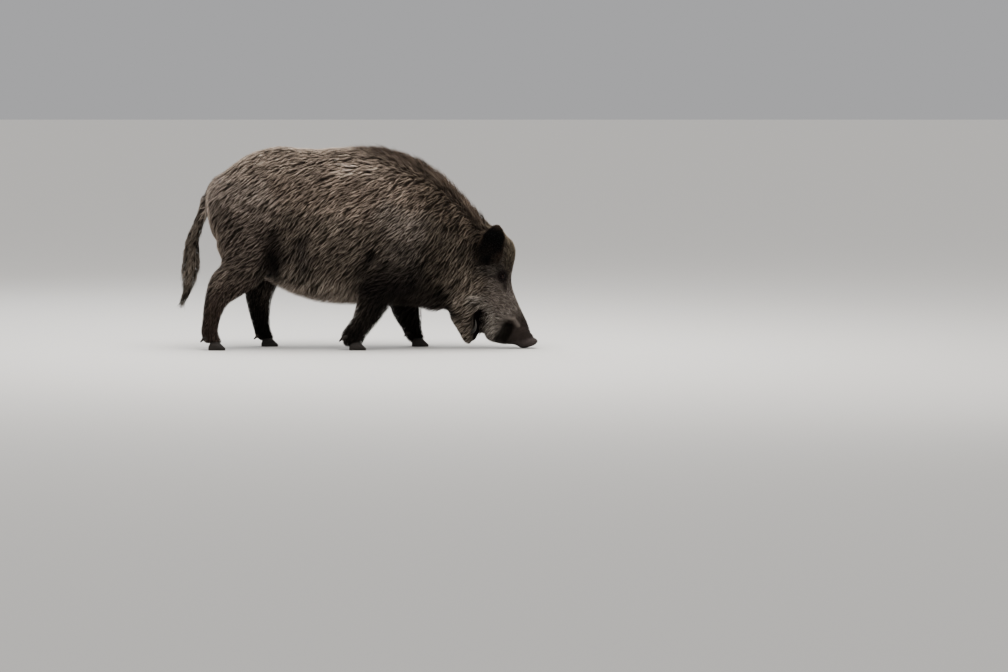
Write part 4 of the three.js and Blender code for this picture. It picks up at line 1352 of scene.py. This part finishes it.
def buildHooves(leg, material):
    nodes = [f"{leg}_{kind}_{place}" for kind in ("claw", "dewclaw") for place in ("inner", "outer")]
    bm = cadCopy(nodes)
    for node in nodes[2:]:  # the dewclaws' roots run on into the leg
        low, high = cornersOf(node)
        root = (high[0] + 0.003, (low[1] + high[1]) / 2, high[2] - 0.011)
        bmesh.ops.create_icosphere(bm, subdivisions=2, radius=hoof["root"], matrix=Matrix.Translation(root))
    mesh = remeshed(bm, leg + "_hooves", hoof["voxel"])
    relax(mesh, 5, np.where(pointsOf(mesh)[:, 2] < 0.0015, 0.0, 0.45))
    points = pointsOf(mesh)
    middle = np.mean([boxMiddle(node) - origin for node in nodes[:2]], axis=0) * (1, 1, 0)
    own = ease(*hoof["heel"], points[:, 0] - middle[0])
    tuck = hoof["tuck"] * ease(*hoof["tuckUp"], points[:, 2]) * own
    points -= (points - middle + np.array((hoof["lean"], 0, 0))) * (1, 1, 0) * tuck[:, None]
    slim = slimDewclaw(slimDewclaw(points, nodes[2]), nodes[3])
    points += (slim - points) * (1 - own[:, None])
    points[:, 2] = np.maximum(points[:, 2], 0)
    movePoints(mesh, points)
    mesh.transform(Matrix.Translation(origin))
    addPiece(leg + "_hooves", mesh, material, "hoof", *nodes)


tusk = {
    "line": [(456, 26, 68), (469, 44, 78), (475, 55, 97), (473, 61, 122)], "thick": 6.6,  # mm
    "rows": 16, "oval": 0.8, "tip": 0.0004,  # its width of its depth, and the tip's radius in metres
    "ivory": np.array((0.040, 0.038, 0.035)), "stain": np.array((0.015, 0.012, 0.010)),
}


def buildTusk(name, side, material):
    bm = bmesh.new()
    bmesh.ops.create_cone(bm, cap_ends=True, segments=16, radius1=1, radius2=0.12, depth=1)
    cutInRows(bm, tusk["rows"])
    line = np.array(tusk["line"]) / 1000 * (1, side, 1)
    fit = [np.polyfit(np.linspace(0, 1, len(line)), line[:, k], 2) for k in range(3)]
    colours = []
    for v in bm.verts:
        t = v.co.z + 0.5
        middle = np.array([np.polyval(f, t) for f in fit])
        way = unit(np.array([np.polyval(np.polyder(f), t) for f in fit]))
        a = across(np.array((0, side, 0.2)), way)
        b = np.cross(way, a)
        size = tusk["thick"] / 1000 * (1 - t ** 1.6) ** 0.8 + tusk["tip"]
        off = math.hypot(v.co.x, v.co.y)
        spread = size / off if off > 1e-6 else 0
        v.co = middle + a * v.co.x * spread * tusk["oval"] + b * v.co.y * spread
        stain = math.exp(-t * 3)
        colours.append(tusk["ivory"] * (1 - stain) + tusk["stain"] * stain)
    bmesh.ops.recalc_face_normals(bm, faces=bm.faces)
    bmesh.ops.translate(bm, verts=bm.verts, vec=Vector(origin))
    mesh = meshOf(bm, name + "_ivory")
    paint(mesh, np.array(colours))
    addPiece(name + "_ivory", mesh, material, "tusk", name)


def buildHardParts():
    eye, horn, ivory = eyeMaterial(), hornMaterial(), ivoryMaterial()
    for name, side in (("right", -1), ("left", 1)):
        buildEye(name + "_eye", side, eye)
        buildTusk(name + "_tusk", side, ivory)
    for leg in legNames:
        buildHooves(leg, horn)
    print("eyes, tusks and hooves built")


buildHardParts()


# Floor, light and camera

studio = {
    "floor": (0.58, 0.57, 0.55), "floorSize": 30, "horizon": (0.44, 0.44, 0.45), "zenith": (1.30, 1.28, 1.26),
    "lamps": {  # place, aim, size, watts, colour
        "above": ((0.1, -0.3, 3.4), (0, 0, 0.4), 2.8, 260, (1.0, 0.97, 0.93)),
        "front": ((3.2, -2.6, 2.4), (0.2, 0, 0.4), 2.4, 40, (1.0, 0.96, 0.92)),
        "behind": ((-2.0, 2.6, 2.8), (0, 0, 0.5), 2.4, 60, (0.95, 0.97, 1.0)),
    },
    "lens": 200, "elevation": 4,  # mm, and degrees above the level
    "camera": (0.590, -22.90, 1.651),  # along from the animal's own origin, aside and up
}


def buildStudio():
    scene = bpy.context.scene
    bm = bmesh.new()
    bmesh.ops.create_grid(bm, x_segments=1, y_segments=1, size=studio["floorSize"])
    floor = addToScene("floor", meshOf(bm, "floor"))
    material, _, shader = nodesOf("floor", 0.9, 0.2)
    shader.inputs["Base Color"].default_value = (*studio["floor"], 1)
    floor.data.materials.append(material)
    world = bpy.data.worlds.new("soft sky")
    world.use_nodes = True
    tree = world.node_tree
    place = addNode(tree, "ShaderNodeTexCoord")
    height = addNode(tree, "ShaderNodeSeparateXYZ")
    mix = addNode(tree, "ShaderNodeMix", data_type="RGBA")
    mix.inputs[6].default_value = (*studio["horizon"], 1)
    mix.inputs[7].default_value = (*studio["zenith"], 1)
    link(tree, place.outputs["Generated"], height.inputs["Vector"])
    link(tree, height.outputs["Z"], mix.inputs[0])
    link(tree, mix.outputs[2], tree.nodes["Background"].inputs["Color"])
    scene.world = world
    for name, (place, aim, size, watts, colour) in studio["lamps"].items():
        lamp = bpy.data.lights.new(name, "AREA")
        lamp.size, lamp.energy, lamp.color = size, watts, colour
        ob = addToScene(name, lamp)
        ob.location = place
        ob.rotation_euler = (Vector(aim) - ob.location).to_track_quat("-Z", "Y").to_euler()
    camera = bpy.data.cameras.new("camera")
    camera.lens, camera.sensor_width, camera.clip_end = studio["lens"], 36, 100
    ob = addToScene("camera", camera)
    ob.location = np.array(studio["camera"]) + origin * (1, 0, 0)
    ob.rotation_euler = (math.radians(90 - studio["elevation"]), 0, 0)
    scene.camera = ob
    print("studio ready")


buildStudio()
